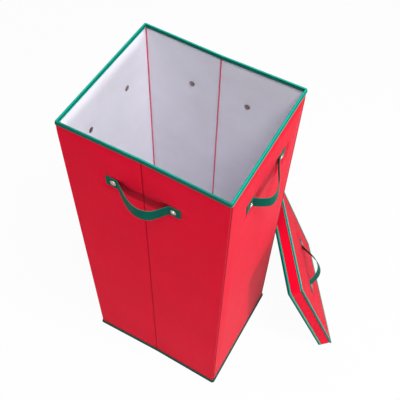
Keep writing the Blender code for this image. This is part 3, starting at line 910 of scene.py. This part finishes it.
def stitch_tree():
    """The node group that lays stitches along a path, end to end at one pitch."""
    made = bpy.data.node_groups.get("stitch line")
    if made:
        return made
    sizes = {"Pitch": "Float", "Length": "Float", "Thread": "Float"}
    tree, given = new_group("stitch line", {"Path": "Geometry", **sizes, "Finish": "Material"}, "Stitches")
    path = add(tree, "GeometryNodeMeshToCurve", {"Mesh": given["Path"]}).outputs["Curve"]
    spacing = {"Curve": path, "Length": given["Pitch"]}
    spaced = add(tree, "GeometryNodeCurveToPoints", spacing, mode="LENGTH").outputs
    ball = add(tree, "GeometryNodeMeshUVSphere", {"Segments": 6, "Rings": 4, "Radius": 0.5}).outputs["Mesh"]
    widths = {"X": given["Thread"], "Y": given["Thread"], "Z": given["Length"]}
    size = add(tree, "ShaderNodeCombineXYZ", widths).outputs["Vector"]
    laid = stood(tree, spaced["Points"], ball, spaced["Tangent"], Scale=size)
    coloured = dressed(tree, laid, given["Finish"])
    soft = add(tree, "GeometryNodeSetShadeSmooth", {"Geometry": coloured}).outputs["Geometry"]
    add(tree, "NodeGroupOutput", {"Stitches": soft})
    return tree


def grown(name, source, tree, inputs):
    """The plain mesh that a node group grows from a source mesh."""
    carrier = bpy.data.objects.new(name, source)
    bpy.context.scene.collection.objects.link(carrier)
    modifier = carrier.modifiers.new(tree.name, "NODES")
    modifier.node_group = tree
    identifiers = {}
    for item in tree.interface.items_tree:
        if item.item_type == "SOCKET" and item.in_out == "INPUT":
            identifiers[item.name] = item.identifier
    for socket, value in inputs.items():
        modifier[identifiers[socket]] = value
    depsgraph = bpy.context.evaluated_depsgraph_get()
    mesh = bpy.data.meshes.new_from_object(carrier.evaluated_get(depsgraph))
    mesh.name = name
    bpy.data.objects.remove(carrier)
    if len(mesh.polygons) == 0:
        raise RuntimeError(f"{name} came out empty")
    return mesh


def stitches(name, lines, finish):
    """Rows of stitches along closed lines of points."""
    sizes = bpy.context.scene.roll_box_sizes
    points = []
    edges = []
    for line in lines:
        first = len(points)
        points.extend(line)
        edges.extend((first + index, first + (index + 1) % len(line)) for index in range(len(line)))
    source = bpy.data.meshes.new(name)
    source.from_pydata(points, edges, [])
    inputs = {
        "Pitch": sizes.stitch_pitch,
        "Length": sizes.stitch_length,
        "Thread": sizes.thread,
        "Finish": finish_named(finish),
    }
    return grown(name, source, stitch_tree(), inputs)


class ROLLBOX_OT_walls(bpy.types.Operator):
    """Red cloth round the four walls, with soft folds, creases and puckers at the rivets"""

    bl_idname = "roll_box.walls"
    bl_label = "Wall cloth"

    def execute(self, context):
        sizes = context.scene.roll_box_sizes
        plan = box_plan(0)
        places = stations(plan, CLOTH_STEP, FINE_CORNERS)
        face = follow(plan, places)
        ways = outwards(face)
        bottom = COVER_LOW.z
        top = HEIGHT - UNDER_TAPE * RIM_DROP
        count = ceil((top - bottom) / CLOTH_STEP)
        rings = []
        painted_groove_shade = []
        for row in range(count + 1):
            z = bottom + (top - bottom) * row / count
            ring = []
            for point, out in zip(face, ways):
                place = Vector((point.x, point.y, z))
                shift, sewn = wall_relief(place, out, sizes)
                ring.append(place + Vector((out.x, out.y, 0)) * shift)
                painted_groove_shade.append(sewn)
            rings.append(ring)
        for z in (top, bottom):
            rings.append(ring_at(box_plan(CLOTH + sizes.crease_depth), places, z))
            painted_groove_shade.extend([0.0] * len(face))
        mesh = loft("wall_cloth", rings, True)
        # The share in each crease and seam paints shade on the cloth's colour.
        mesh.attributes["stitched"].data.foreach_set("value", painted_groove_shade)
        walls = add_piece("wall_cloth", mesh, "red_spunbond_cloth", "box", ["outer_cover"])
        round_box = lengths_along(face)[-1]
        return {"FINISHED"}


class ROLLBOX_OT_base(bpy.types.Operator):
    """Red cloth under the box"""

    bl_idname = "roll_box.base"
    bl_label = "Base cloth"

    def execute(self, context):
        low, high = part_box("bottom_cover")
        size = high - low
        origin = Vector((low.x, high.y, FIT))
        edge = BASE_LIP + 0.002

        def relief(x, y):
            inside = min(x, size.x - x, y, size.y - y)
            under_tape = 1 - smooth((inside - edge) / 0.006)
            return -0.0011 * under_tape - 0.0003 * uneven(x * 14, y * 14, 8.2) * smooth(inside / 0.03)

        sizes = (size.x, size.y)
        axes = (Vector((1, 0, 0)), Vector((0, -1, 0)))
        mesh = panel("base_cloth", origin, *axes, sizes, BASE_CLOTH, BASE_STEP, relief)
        base = add_piece("base_cloth", mesh, "red_spunbond_cloth", "box", ["bottom_cover"])
        return {"FINISHED"}


class ROLLBOX_OT_box_tapes(bpy.types.Operator):
    """Green tape folded over the rim, dark tape round the bottom edge, and their stitches"""

    bl_idname = "roll_box.box_tapes"
    bl_label = "Box tapes"

    def execute(self, context):
        places = stations(box_plan(0), TAPE_STEP, FINE_CORNERS)
        section = rim_section(LINER_IN, RIM_DROP, HEIGHT, 1)
        rim = tape_mesh("rim_tape", section, box_plan, places, RIM_SEED)
        paint_front_shade(rim)
        add_piece("rim_tape", rim, "green_twill_tape", "box", ["rim_binding"])
        section = edge_section((BASE_DROP, BASE_LIP), (BASE_STAND, BASE_BEAD), 0, -1)
        base = tape_mesh("base_tape", section, box_plan, places, BASE_SEED)
        add_piece("base_tape", base, "dark_green_twill_tape", "box", ["base_binding"])
        height = HEIGHT - STITCHED_AT * RIM_DROP
        insets = (-STITCH_OUT, LINER_IN + STITCH_OUT)
        lines = [ring_at(box_plan(inset), places, height, EDGE_WAVE, RIM_SEED) for inset in insets]
        rows = stitches("rim_stitches", lines, "green_polyester_thread")
        add_piece("rim_stitches", rows, "green_polyester_thread", "box")
        lines = [ring_at(box_plan(-SEAM_STITCH_OUT), places, BASE_STITCH_UP, EDGE_WAVE, BASE_SEED)]
        rows = stitches("base_stitches", lines, "dark_polyester_thread")
        add_piece("base_stitches", rows, "dark_polyester_thread", "box")
        return {"FINISHED"}


class ROLLBOX_OT_lining(bpy.types.Operator):
    """Pale lining on each wall and the pink-red seams in its corners and creases"""

    bl_idname = "roll_box.lining"
    bl_label = "Box lining"

    def execute(self, context):
        for name in ("left", "right", "front_left", "front_right", "back_left", "back_right"):
            self.line(name)
        for name in ("front_left", "front_right", "back_left", "back_right"):
            self.sew(f"{name}_corner_seam")
        for name in ("front", "back"):
            self.sew(f"{name}_crease_seam")
        return {"FINISHED"}

    def line(self, name):
        """Cover one panel of a wall."""
        low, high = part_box(f"{name}_liner")
        up = Vector((0, 0, 1))
        bottom = low.z
        top = HEIGHT - UNDER_TAPE * RIM_DROP
        if name == "left":
            origin = Vector((high.x, low.y, bottom))
            across = Vector((0, 1, 0))
            length = high.y - low.y
        elif name == "right":
            origin = Vector((low.x, high.y, bottom))
            across = Vector((0, -1, 0))
            length = high.y - low.y
        else:
            side = -1 if name.startswith("front") else 1
            ends = (low.x, high.x) if side > 0 else (high.x, low.x)
            start, end = [Vector((x, side * wall_y(x, LINER_IN), bottom)) for x in ends]
            origin = start
            across = (end - start).normalized()
            length = (end - start).length
        seed = 17.0 + len(name)
        middle = -origin.dot(across)

        def relief(x, y):
            side_edge = smooth(min(x, length - x) / 0.010)
            top_edge = smooth((RIM_LOW.z - 0.002 - bottom - y) / 0.012)
            cap = hypot(abs(x - middle) - RIVET_REACH, y + bottom - HANDLE_HEIGHT)
            crumples = 0.0006 * uneven(x * 26, y * 9, seed) + 0.0003 * uneven(x * 70, y * 38, seed + 3)
            return crumples * (side_edge * top_edge * smooth((cap - 0.007) / 0.010))

        sizes = (length, top - bottom)
        mesh = panel(f"{name}_lining", origin, across, up, sizes, LINING, LINING_STEP, relief)
        piece = add_piece(
            f"{name}_lining", mesh, "pale_spunbond_lining", "box", [f"{name}_liner"]
        )

    def sew(self, node):
        """Run a round, slightly uneven welt up one seam."""
        low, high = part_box(node)
        middle = (low + high) / 2
        if "crease" in node:
            side = -1 if middle.y < 0 else 1
            middle.y = side * (wall_y(0, LINER_IN) - 0.0001)
        rings = []
        for row in range(WELT_RINGS + 1):
            z = low.z + (high.z - low.z) * row / WELT_RINGS
            ring = []
            for step in range(WELT_SIDES):
                angle = 2 * pi * step / WELT_SIDES
                swell = 1 + 0.18 * noise.noise(Vector((z * 160, angle, middle.x * 9)))
                offset = Vector((cos(angle), sin(angle), 0)) * WELT_RADIUS * swell
                ring.append(Vector((middle.x, middle.y, z)) + offset)
            rings.append(ring)
        mesh = loft(f"{node}_welt", rings, False)
        add_piece(f"{node}_welt", mesh, "pink_seam_cloth", "box", [node])


class ROLLBOX_OT_base_board(bpy.types.Operator):
    """Lining cloth wrapped over the loose base board"""

    bl_idname = "roll_box.base_board"
    bl_label = "Base board"

    def execute(self, context):
        places = stations(insert_plan(0), FLAT_STEP)
        bottom = INSERT_LOW.z
        top = INSERT_HIGH.z
        outside = [(0.0002, bottom), (0.0, bottom + 0.001), (0.0, top - 0.0012), (0.0004, top - 0.0004)]
        outside.extend([(0.0012, top), (0.004, top), (0.010, top)])
        outside.extend((FLAT_STEP * step, top) for step in range(2, 14))
        middle = (INSERT_LOW + INSERT_HIGH) / 2
        shift = Vector((middle.x, middle.y, 0))
        rings = []
        for inset, height in outside:
            ring = []
            for point in ring_at(insert_plan(inset), places, height):
                crumple = uneven(point.x * 22, point.y * 22, 2.4)
                point.z += 0.0006 * crumple * smooth((inset - 0.002) / 0.02)
                ring.append(point + shift)
            rings.append(ring)
        inside_top = top - LINING
        for inset, height in ((0.130, inside_top), (LINING, inside_top), (LINING, bottom)):
            rings.append([point + shift for point in ring_at(insert_plan(inset), places, height)])
        mesh = self.wrapped(rings, len(outside))
        unwrap_flat(mesh)
        cover = add_piece(
            "base_board_cloth",
            mesh,
            "pale_spunbond_lining",
            "base_insert",
            ["base_insert_cover"],
        )
        return {"FINISHED"}

    def wrapped(self, rings, outside_count):
        """A skin from the outer bottom edge over the top, and back under it to the inner bottom edge."""
        shape = bmesh.new()
        rows = rows_of(shape, rings)
        shape.faces.new(rows[outside_count - 1])
        shape.faces.new(rows[outside_count])
        spans = steps(len(rows))
        spans.pop(outside_count - 1)
        bridge(shape, rows, spans)
        return closed("base_board_cloth", shape)


class ROLLBOX_OT_boards(bpy.types.Operator):
    """Greyboard on the stiffening boards that stay as they are in the frame"""

    bl_idname = "roll_box.boards"
    bl_label = "Boards"

    def execute(self, context):
        names = [*BOX_BOARDS, *LID_SIDE_BOARDS, "lid_top_board", "base_insert_board"]
        for name in names:
            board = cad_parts[name]
            board.data.materials.clear()
            board.data.materials.append(finish_named("pressed_greyboard"))
        return {"FINISHED"}


class ROLLBOX_OT_straps(bpy.types.Operator):
    """Webbing straps: two tabs flat on the wall and a bowed loop between them"""

    bl_idname = "roll_box.straps"
    bl_label = "Straps"

    def execute(self, context):
        for number, side in enumerate((*HANDLES, "lid")):
            mesh = self.strap(f"{side}_strap", number, BOW_SKEW[side])
            frame_of_handle = handle_frame(side)
            mesh.transform(frame_of_handle)
            nodes = [f"{side}_strap_loop", f"{side}_strap_left_end", f"{side}_strap_right_end"]
            strap = add_piece(f"{side}_strap", mesh, "green_woven_webbing", None, nodes)
            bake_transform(strap)
        return {"FINISHED"}

    def strap(self, name, seed, skew):
        """One strap in a handle's own frame, its bow leaning to one end by skew."""
        thickness = bpy.context.scene.roll_box_sizes.strap_thickness
        seat = FIT + thickness / 2
        line = []
        tab = TAB_REACH - BOW_REACH
        for step in range(TAB_STEPS):
            line.append(Vector((-TAB_REACH + tab * step / TAB_STEPS, seat)))
        for step in range(BOW_STEPS + 1):
            angle = pi * (step / BOW_STEPS - 1 / 2)
            x = BOW_REACH * sin(angle) + skew * cos(angle) ** 2
            line.append(Vector((x, seat + BOW_HEIGHT * max(cos(angle), 0.0) ** BOW_FULLNESS)))
        for step in range(1, TAB_STEPS + 1):
            line.append(Vector((BOW_REACH + tab * step / TAB_STEPS, seat)))
        half = STRAP_WIDTH / 2
        across = [-half + 0.0003, -half + 0.0010, -half + 0.0020]
        across.extend(-half + 0.002 + (STRAP_WIDTH - 0.004) * step / 8 for step in range(1, 8))
        across.extend([half - 0.0020, half - 0.0010, half - 0.0003])
        bead = [0.75, 1.10, 0.95, *([1.0] * 7), 0.95, 1.10, 0.75]
        section = list(zip(across, bead))
        section.append((half, 0.0))
        section.extend((place, -share) for place, share in zip(reversed(across), reversed(bead)))
        section.append((-half, 0.0))
        rings = []
        for index, point in enumerate(line):
            before = line[max(index - 1, 0)]
            after = line[min(index + 1, len(line) - 1)]
            along = (after - before).normalized()
            thick = Vector((-along.y, along.x)) * thickness / 2
            free = smooth((0.049 - abs(point.x)) / 0.022)
            tilt = LOOP_TILT * free
            cup = 0.0007 * free * noise.noise(Vector((point.x * 30, seed * 3.3, 1.0)))
            ring = []
            for place, share in section:
                x = point.x + thick.x * share
                out = point.y + thick.y * share + cup * (place / half) ** 2
                sway = 0.0004 * free * noise.noise(Vector((point.x * 40, seed * 5.1, place * 30)))
                z = place * cos(tilt) - LOOP_SAG * free
                ring.append(Vector((x, -(out + sway + place * sin(tilt)), z)))
            rings.append(ring)
        return self.skinned(name, rings, section, line)

    def skinned(self, name, rings, section, line):
        """A closed skin with U along the strap and V across it."""
        shape = bmesh.new()
        uv_map = shape.loops.layers.uv.new("UVMap")
        rows = rows_of(shape, rings)
        distances = [0.0]
        for first, second in zip(line, line[1:]):
            distances.append(distances[-1] + (second - first).length)
        places = [place for place, share in section]

        def uv_at(row, index):
            return distances[row], places[index % len(places)]

        bridge(shape, rows, steps(len(rows) - 1), uv_map, uv_at)
        for row, distance in ((rows[0], 0.0), (rows[-1], distances[-1])):
            face = shape.faces.new(row)
            for loop, (place, share) in zip(face.loops, section):
                loop[uv_map].uv = (distance + share * 0.0005, place)
        return closed(name, shape)


def turned_metal(name, profile):
    """A profile turned about Z and closed at both ends, which lie on the axis."""
    shape = bmesh.new()
    angles = [2 * pi * step / RIVET_SIDES for step in range(RIVET_SIDES)]
    rings = []
    for radius, height in profile[1:-1]:
        rings.append([(radius * cos(angle), radius * sin(angle), height) for angle in angles])
    rows = rows_of(shape, rings)
    bridge(shape, rows, steps(len(rows) - 1))
    for row, (_, height) in ((rows[0], profile[0]), (rows[-1], profile[-1])):
        pole = shape.verts.new((0, 0, height))
        for index in range(RIVET_SIDES):
            shape.faces.new((row[index], row[(index + 1) % RIVET_SIDES], pole))
    return closed(name, shape)


def rivet_tree():
    """The node group that sets a head on each point and a cap at the other end of its shank."""
    made = bpy.data.node_groups.get("rivet row")
    if made:
        return made
    kinds = {"Points": "Geometry", "Head": "Object", "Cap": "Object", "Finish": "Material"}
    tree, given = new_group("rivet row", kinds, "Rivets")
    named = "GeometryNodeInputNamedAttribute"
    out = add(tree, named, {"Name": "out"}, data_type="FLOAT_VECTOR").outputs["Attribute"]
    grip = add(tree, named, {"Name": "grip"}, data_type="FLOAT").outputs["Attribute"]
    shank = {0: out, "Scale": maths(tree, "MULTIPLY", grip, -1.0)}
    inwards = add(tree, "ShaderNodeVectorMath", shank, operation="SCALE").outputs["Vector"]
    move = {"Geometry": given["Points"], "Offset": inwards}
    inside = add(tree, "GeometryNodeSetPosition", move).outputs["Geometry"]
    both = add(tree, "GeometryNodeJoinGeometry")
    for points, part in ((given["Points"], "Head"), (inside, "Cap")):
        piece = add(tree, "GeometryNodeObjectInfo", {"Object": given[part]}).outputs["Geometry"]
        tree.links.new(stood(tree, points, piece, out), both.inputs["Geometry"])
    plated = dressed(tree, both.outputs["Geometry"], given["Finish"])
    add(tree, "NodeGroupOutput", {"Rivets": plated})
    return tree


class ROLLBOX_OT_rivets(bpy.types.Operator):
    """Double-cap rivets: domed heads on the straps and flat caps inside"""

    bl_idname = "roll_box.rivets"
    bl_label = "Rivets"

    def execute(self, context):
        under = FIT + WEBBING
        dome = [(radius, under + height) for radius, height in HEAD_PROFILE]
        head = bpy.data.objects.new("head", turned_metal("head", [*dome, *SHANK_END]))
        cap = bpy.data.objects.new("cap", turned_metal("cap", CAP_PROFILE))
        inputs = {"Head": head, "Cap": cap, "Finish": finish_named("stamped_nickel_plate")}
        creased_grip = CREASED_Y - wall_y(RIVET_REACH - 0.006, LINER_IN)
        box_sides = [(side, creased_grip if side in ("front", "back") else LINER_IN) for side in HANDLES]
        groups = {"box": box_sides, "lid": [("lid", LID_HEIGHT - LID_LINER_TOP + LINING)]}
        for body, sides in groups.items():
            points = []
            ways = []
            grips = []
            nodes = []
            for side, grip in sides:
                place = handle_frame(side)
                for half, reach in (("left", -RIVET_REACH), ("right", RIVET_REACH)):
                    points.append(place @ Vector((reach, 0, 0)))
                    ways.extend(place.to_3x3() @ Vector((0, -1, 0)))
                    grips.append(grip + FIT)
                    nodes.append(f"{side}_{half}_rivet")
            source = bpy.data.meshes.new(f"{body}_rivet_places")
            source.from_pydata(points, [], [])
            source.attributes.new("out", "FLOAT_VECTOR", "POINT").data.foreach_set("vector", ways)
            source.attributes.new("grip", "FLOAT", "POINT").data.foreach_set("value", grips)
            mesh = grown(f"{body}_rivets", source, rivet_tree(), inputs)
            add_piece(f"{body}_rivets", mesh, "stamped_nickel_plate", body, nodes)
        bpy.data.objects.remove(head)
        bpy.data.objects.remove(cap)
        return {"FINISHED"}


class ROLLBOX_OT_lid_cloth(bpy.types.Operator):
    """Red cloth on the lid's top and round its sides, and the lining inside"""

    bl_idname = "roll_box.lid_cloth"
    bl_label = "Lid cloth"

    def execute(self, context):
        sizes = context.scene.roll_box_sizes
        self.top(sizes)
        self.sides(sizes)
        self.lining()
        return {"FINISHED"}

    def top(self, sizes):
        """Stretch cloth over the top board, rippled round the rivets."""
        length = LID_LENGTH - 0.002
        width = LID_WIDTH - 0.002
        origin = Vector((-length / 2, -width / 2, LID_HEIGHT))

        def relief(x, y):
            inside = smooth((min(x, length - x, y, width - y) - LID_TOP_LIP - 0.001) / 0.020)
            along = y - width / 2
            down = x - length / 2
            soft = uneven(x * 15, y * 15, 21.0)
            fine = uneven(x * 45, y * 45, 25.0)
            height = sizes.fold_height * (0.8 * soft + 0.3 * fine) * tab_clear(along, down)
            return (height + 1.3 * puckers(along, down, sizes.pucker_height)) * inside

        axes = (Vector((1, 0, 0)), Vector((0, 1, 0)))
        mesh = panel("lid_top_cloth", origin, *axes, (length, width), CLOTH, CLOTH_STEP, relief)
        mesh.transform(LID_FRAME)
        top = add_piece("lid_top_cloth", mesh, "red_spunbond_cloth", "lid", ["lid_top_cover"])

    def sides(self, sizes):
        """Run cloth round the four sides."""
        plan = lid_plan(0)
        places = stations(plan, CLOTH_STEP)
        face = follow(plan, places)
        ways = outwards(face)
        bottom = UNDER_TAPE * LID_EDGE_DROP
        top = LID_HEIGHT - TAPE_STAND
        rings = []
        for row in range(LID_SIDE_ROWS + 1):
            z = bottom + (top - bottom) * row / LID_SIDE_ROWS
            free = smooth((z - LID_EDGE_DROP) / 0.005) * smooth((LID_HEIGHT - LID_TOP_DROP - z) / 0.005)
            ring = []
            for point, out in zip(face, ways):
                ripple = uneven(point.x * 40, point.y * 40, z * 20)
                shift = out * sizes.fold_height * ripple * free
                ring.append(Vector((point.x + shift.x, point.y + shift.y, z)))
            rings.append(ring)
        for z in (top, bottom):
            rings.append(ring_at(lid_plan(CLOTH), places, z))
        mesh = loft("lid_side_cloth", rings, True)
        mesh.transform(LID_FRAME)
        side = add_piece(
            "lid_side_cloth",
            mesh,
            "red_spunbond_cloth",
            "lid",
            ["lid_side_cover"],
        )
        round_lid = lengths_along(face)[-1]

    def lining(self):
        """Line the inside: down the sides and across under the top board."""
        places = stations(lid_plan(LID_LINER_OUT), FLAT_STEP)
        bottom = UNDER_TAPE * LID_EDGE_DROP
        top = LID_LINER_TOP
        under = top - LINING
        section = [(0.140, top), (LID_LINER_OUT, top), (LID_LINER_OUT, bottom), (LID_LINER_IN, bottom)]
        section.extend([(LID_LINER_IN, 0.012), (LID_LINER_IN, 0.020), (LID_LINER_IN, under - 0.002)])
        section.extend([(LID_LINER_IN + 0.0006, under - 0.0004), (LID_LINER_IN + 0.002, under)])
        section.extend((FLAT_STEP * step, under) for step in range(1, 15))
        rings = []
        for inset, height in section:
            ring = []
            for point in ring_at(lid_plan(inset), places, height):
                crumple = uneven(point.x * 22, point.y * 22, 31.0)
                caps = min(hypot(point.x, abs(point.y) - RIVET_REACH), 0.02)
                clear = smooth((caps - 0.007) / 0.008) * smooth((inset - 0.006) / 0.02)
                if height == under:
                    point.z -= 0.0008 * crumple * clear
                ring.append(point)
            rings.append(ring)
        mesh = loft("lid_lining", rings, False)
        unwrap_flat(mesh)
        mesh.transform(LID_FRAME)
        lining = add_piece("lid_lining", mesh, "pale_spunbond_lining", "lid", ["lid_liner"])


class ROLLBOX_OT_lid_tapes(bpy.types.Operator):
    """Green tapes round the lid's top edge and over its open edge, and their stitches"""

    bl_idname = "roll_box.lid_tapes"
    bl_label = "Lid tapes"

    def execute(self, context):
        places = stations(lid_plan(0), TAPE_STEP)
        section = rim_section(LID_LINER_IN, LID_EDGE_DROP, 0, -1)
        edge = tape_mesh("lid_edge_tape", section, lid_plan, places, LID_EDGE_SEED)
        edge.transform(LID_FRAME)
        add_piece("lid_edge_tape", edge, "green_twill_tape", "lid", ["lid_edge_binding"])
        top_edge = LID_HEIGHT + TAPE_STAND
        section = edge_section((LID_TOP_DROP, LID_TOP_LIP), (LID_TOP_STAND, LID_TOP_BEAD), top_edge, 1)
        top = tape_mesh("lid_top_tape", section, lid_plan, places, LID_TOP_SEED)
        paint_front_shade(top)
        top.transform(LID_FRAME)
        add_piece("lid_top_tape", top, "green_twill_tape", "lid", ["lid_top_binding"])
        height = STITCHED_AT * LID_EDGE_DROP
        insets = (-STITCH_OUT, LID_LINER_IN + STITCH_OUT)
        lines = [ring_at(lid_plan(inset), places, height, EDGE_WAVE, LID_EDGE_SEED) for inset in insets]
        height = top_edge - LID_TOP_BEAD - 0.0003
        lines.append(ring_at(lid_plan(-SEAM_STITCH_OUT), places, height, EDGE_WAVE, LID_TOP_SEED))
        rows = stitches("lid_stitches", lines, "green_polyester_thread")
        rows.transform(LID_FRAME)
        add_piece("lid_stitches", rows, "green_polyester_thread", "lid")
        return {"FINISHED"}


class ROLLBOX_OT_stage(bpy.types.Operator):
    """Pale floor, white surroundings, the studio lamps and the camera"""

    bl_idname = "roll_box.stage"
    bl_label = "Stage"

    def execute(self, context):
        context.scene.view_settings.view_transform = "Standard"
        self.floor()
        self.surroundings(context)
        self.lamps(context)
        self.camera(context)
        return {"FINISHED"}

    def seen_directly(self, tree):
        """1 for rays from the camera, a reflection or glass, and 0 for light on the object."""
        path = add(tree, "ShaderNodeLightPath").outputs
        mirrored = maths(tree, "MAXIMUM", path["Is Camera Ray"], path["Is Glossy Ray"])
        return maths(tree, "MAXIMUM", mirrored, path["Is Transmission Ray"])

    def floor(self):
        """A plain pale floor that keeps a soft shadow."""
        mesh = bpy.data.meshes.new("floor")
        signs = ((-1, -1), (1, -1), (1, 1), (-1, 1))
        mesh.from_pydata([(x * FLOOR_REACH, y * FLOOR_REACH, 0) for x, y in signs], [], [(0, 1, 2, 3)])
        ground = bpy.data.objects.new("floor", mesh)
        bpy.context.scene.collection.objects.link(ground)
        finish, tree = new_finish("pale_studio_floor")
        paint = add(tree, "ShaderNodeBsdfDiffuse", {"Color": linear("D2D2D2")}).outputs["BSDF"]
        white = {"Color": (1, 1, 1, 1), "Strength": 1.0}
        glow = add(tree, "ShaderNodeEmission", white).outputs["Emission"]
        share = maths(tree, "MULTIPLY", self.seen_directly(tree), FLOOR_GLOW)
        whole = add(tree, "ShaderNodeMixShader", {0: share, 1: paint, 2: glow}).outputs["Shader"]
        add(tree, "ShaderNodeOutputMaterial", {"Surface": whole})
        mesh.materials.append(finish)

    def surroundings(self, context):
        """White where it is seen, and an even room light on the object."""
        world = bpy.data.worlds.new("studio")
        context.scene.world = world
        world.use_nodes = True
        tree = world.node_tree
        tree.nodes.clear()
        seen = self.seen_directly(tree)
        strength = ranged(tree, seen, 0.0, 1.0, context.scene.roll_box_lights.room, 1.0)
        white = {"Color": (1, 1, 1, 1), "Strength": strength}
        backdrop = add(tree, "ShaderNodeBackground", white).outputs["Background"]
        add(tree, "ShaderNodeOutputWorld", {"Surface": backdrop})

    def lamps(self, context):
        """One for each wall that shows, a broad one high on the right and a small one near the floor."""
        for name, (place, size) in LAMPS.items():
            lamp = bpy.data.lights.new(name, "AREA")
            lamp.shape = "DISK"
            lamp.size = size
            lamp.energy = getattr(context.scene.roll_box_lights, name)
            stand = bpy.data.objects.new(name, lamp)
            stand.location = place
            stand.rotation_mode = "QUATERNION"
            stand.rotation_quaternion = (LAMP_AIM - Vector(place)).to_track_quat("-Z", "Y")
            context.scene.collection.objects.link(stand)

    def camera(self, context):
        """Above the front right corner, looking down at the rim."""
        azimuth = CAMERA_AZIMUTH
        elevation = CAMERA_ELEVATION
        back = Vector((sin(azimuth) * cos(elevation), -cos(azimuth) * cos(elevation), sin(elevation)))
        right = Vector((cos(azimuth), sin(azimuth), 0))
        up = back.cross(right)
        x_axis = right * cos(CAMERA_ROLL) + up * sin(CAMERA_ROLL)
        y_axis = up * cos(CAMERA_ROLL) - right * sin(CAMERA_ROLL)
        lens = bpy.data.cameras.new("camera")
        lens.lens = CAMERA_LENS
        lens.sensor_width = 36
        lens.clip_start = 0.05
        viewer = bpy.data.objects.new("camera", lens)
        context.scene.collection.objects.link(viewer)
        turn = Matrix((x_axis, y_axis, back)).transposed().to_4x4()
        viewer.matrix_world = Matrix.Translation(CAMERA_PLACE) @ turn
        context.scene.camera = viewer


class ROLLBOX_PT_pieces(bpy.types.Panel):
    """Buttons that build the pieces and the stage"""

    bl_idname = "ROLLBOX_PT_pieces"
    bl_label = "Roll box"
    bl_space_type = "VIEW_3D"
    bl_region_type = "UI"
    bl_category = "Roll box"

    def draw(self, context):
        for group in GROUPS:
            box = self.layout.box()
            holder = getattr(context.scene, group)
            for name in holder.__annotations__:
                box.prop(holder, name)
        for operator in OPERATORS:
            self.layout.operator(operator.bl_idname)


OPERATORS = (
    ROLLBOX_OT_stage,
    ROLLBOX_OT_walls,
    ROLLBOX_OT_base,
    ROLLBOX_OT_box_tapes,
    ROLLBOX_OT_lining,
    ROLLBOX_OT_base_board,
    ROLLBOX_OT_boards,
    ROLLBOX_OT_straps,
    ROLLBOX_OT_rivets,
    ROLLBOX_OT_lid_cloth,
    ROLLBOX_OT_lid_tapes,
)
GROUPS = {
    "roll_box_sizes": RollBoxSizes,
    "roll_box_colours": RollBoxColours,
    "roll_box_lights": RollBoxLights,
}
CLASSES = (*GROUPS.values(), *OPERATORS, ROLLBOX_PT_pieces)


def register():
    """Add the groups, the operators and the panel to Blender."""
    for item in CLASSES:
        bpy.utils.register_class(item)
    for name, group in GROUPS.items():
        setattr(bpy.types.Scene, name, PointerProperty(type=group))


def unregister():
    """Take them out again."""
    for name in GROUPS:
        delattr(bpy.types.Scene, name)
    for item in reversed(CLASSES):
        bpy.utils.unregister_class(item)


def main():
    """Build the stage and every piece."""
    register()
    for operator in OPERATORS:
        getattr(bpy.ops.roll_box, operator.bl_idname.partition(".")[2])()


if __name__ == "__main__":
    main()
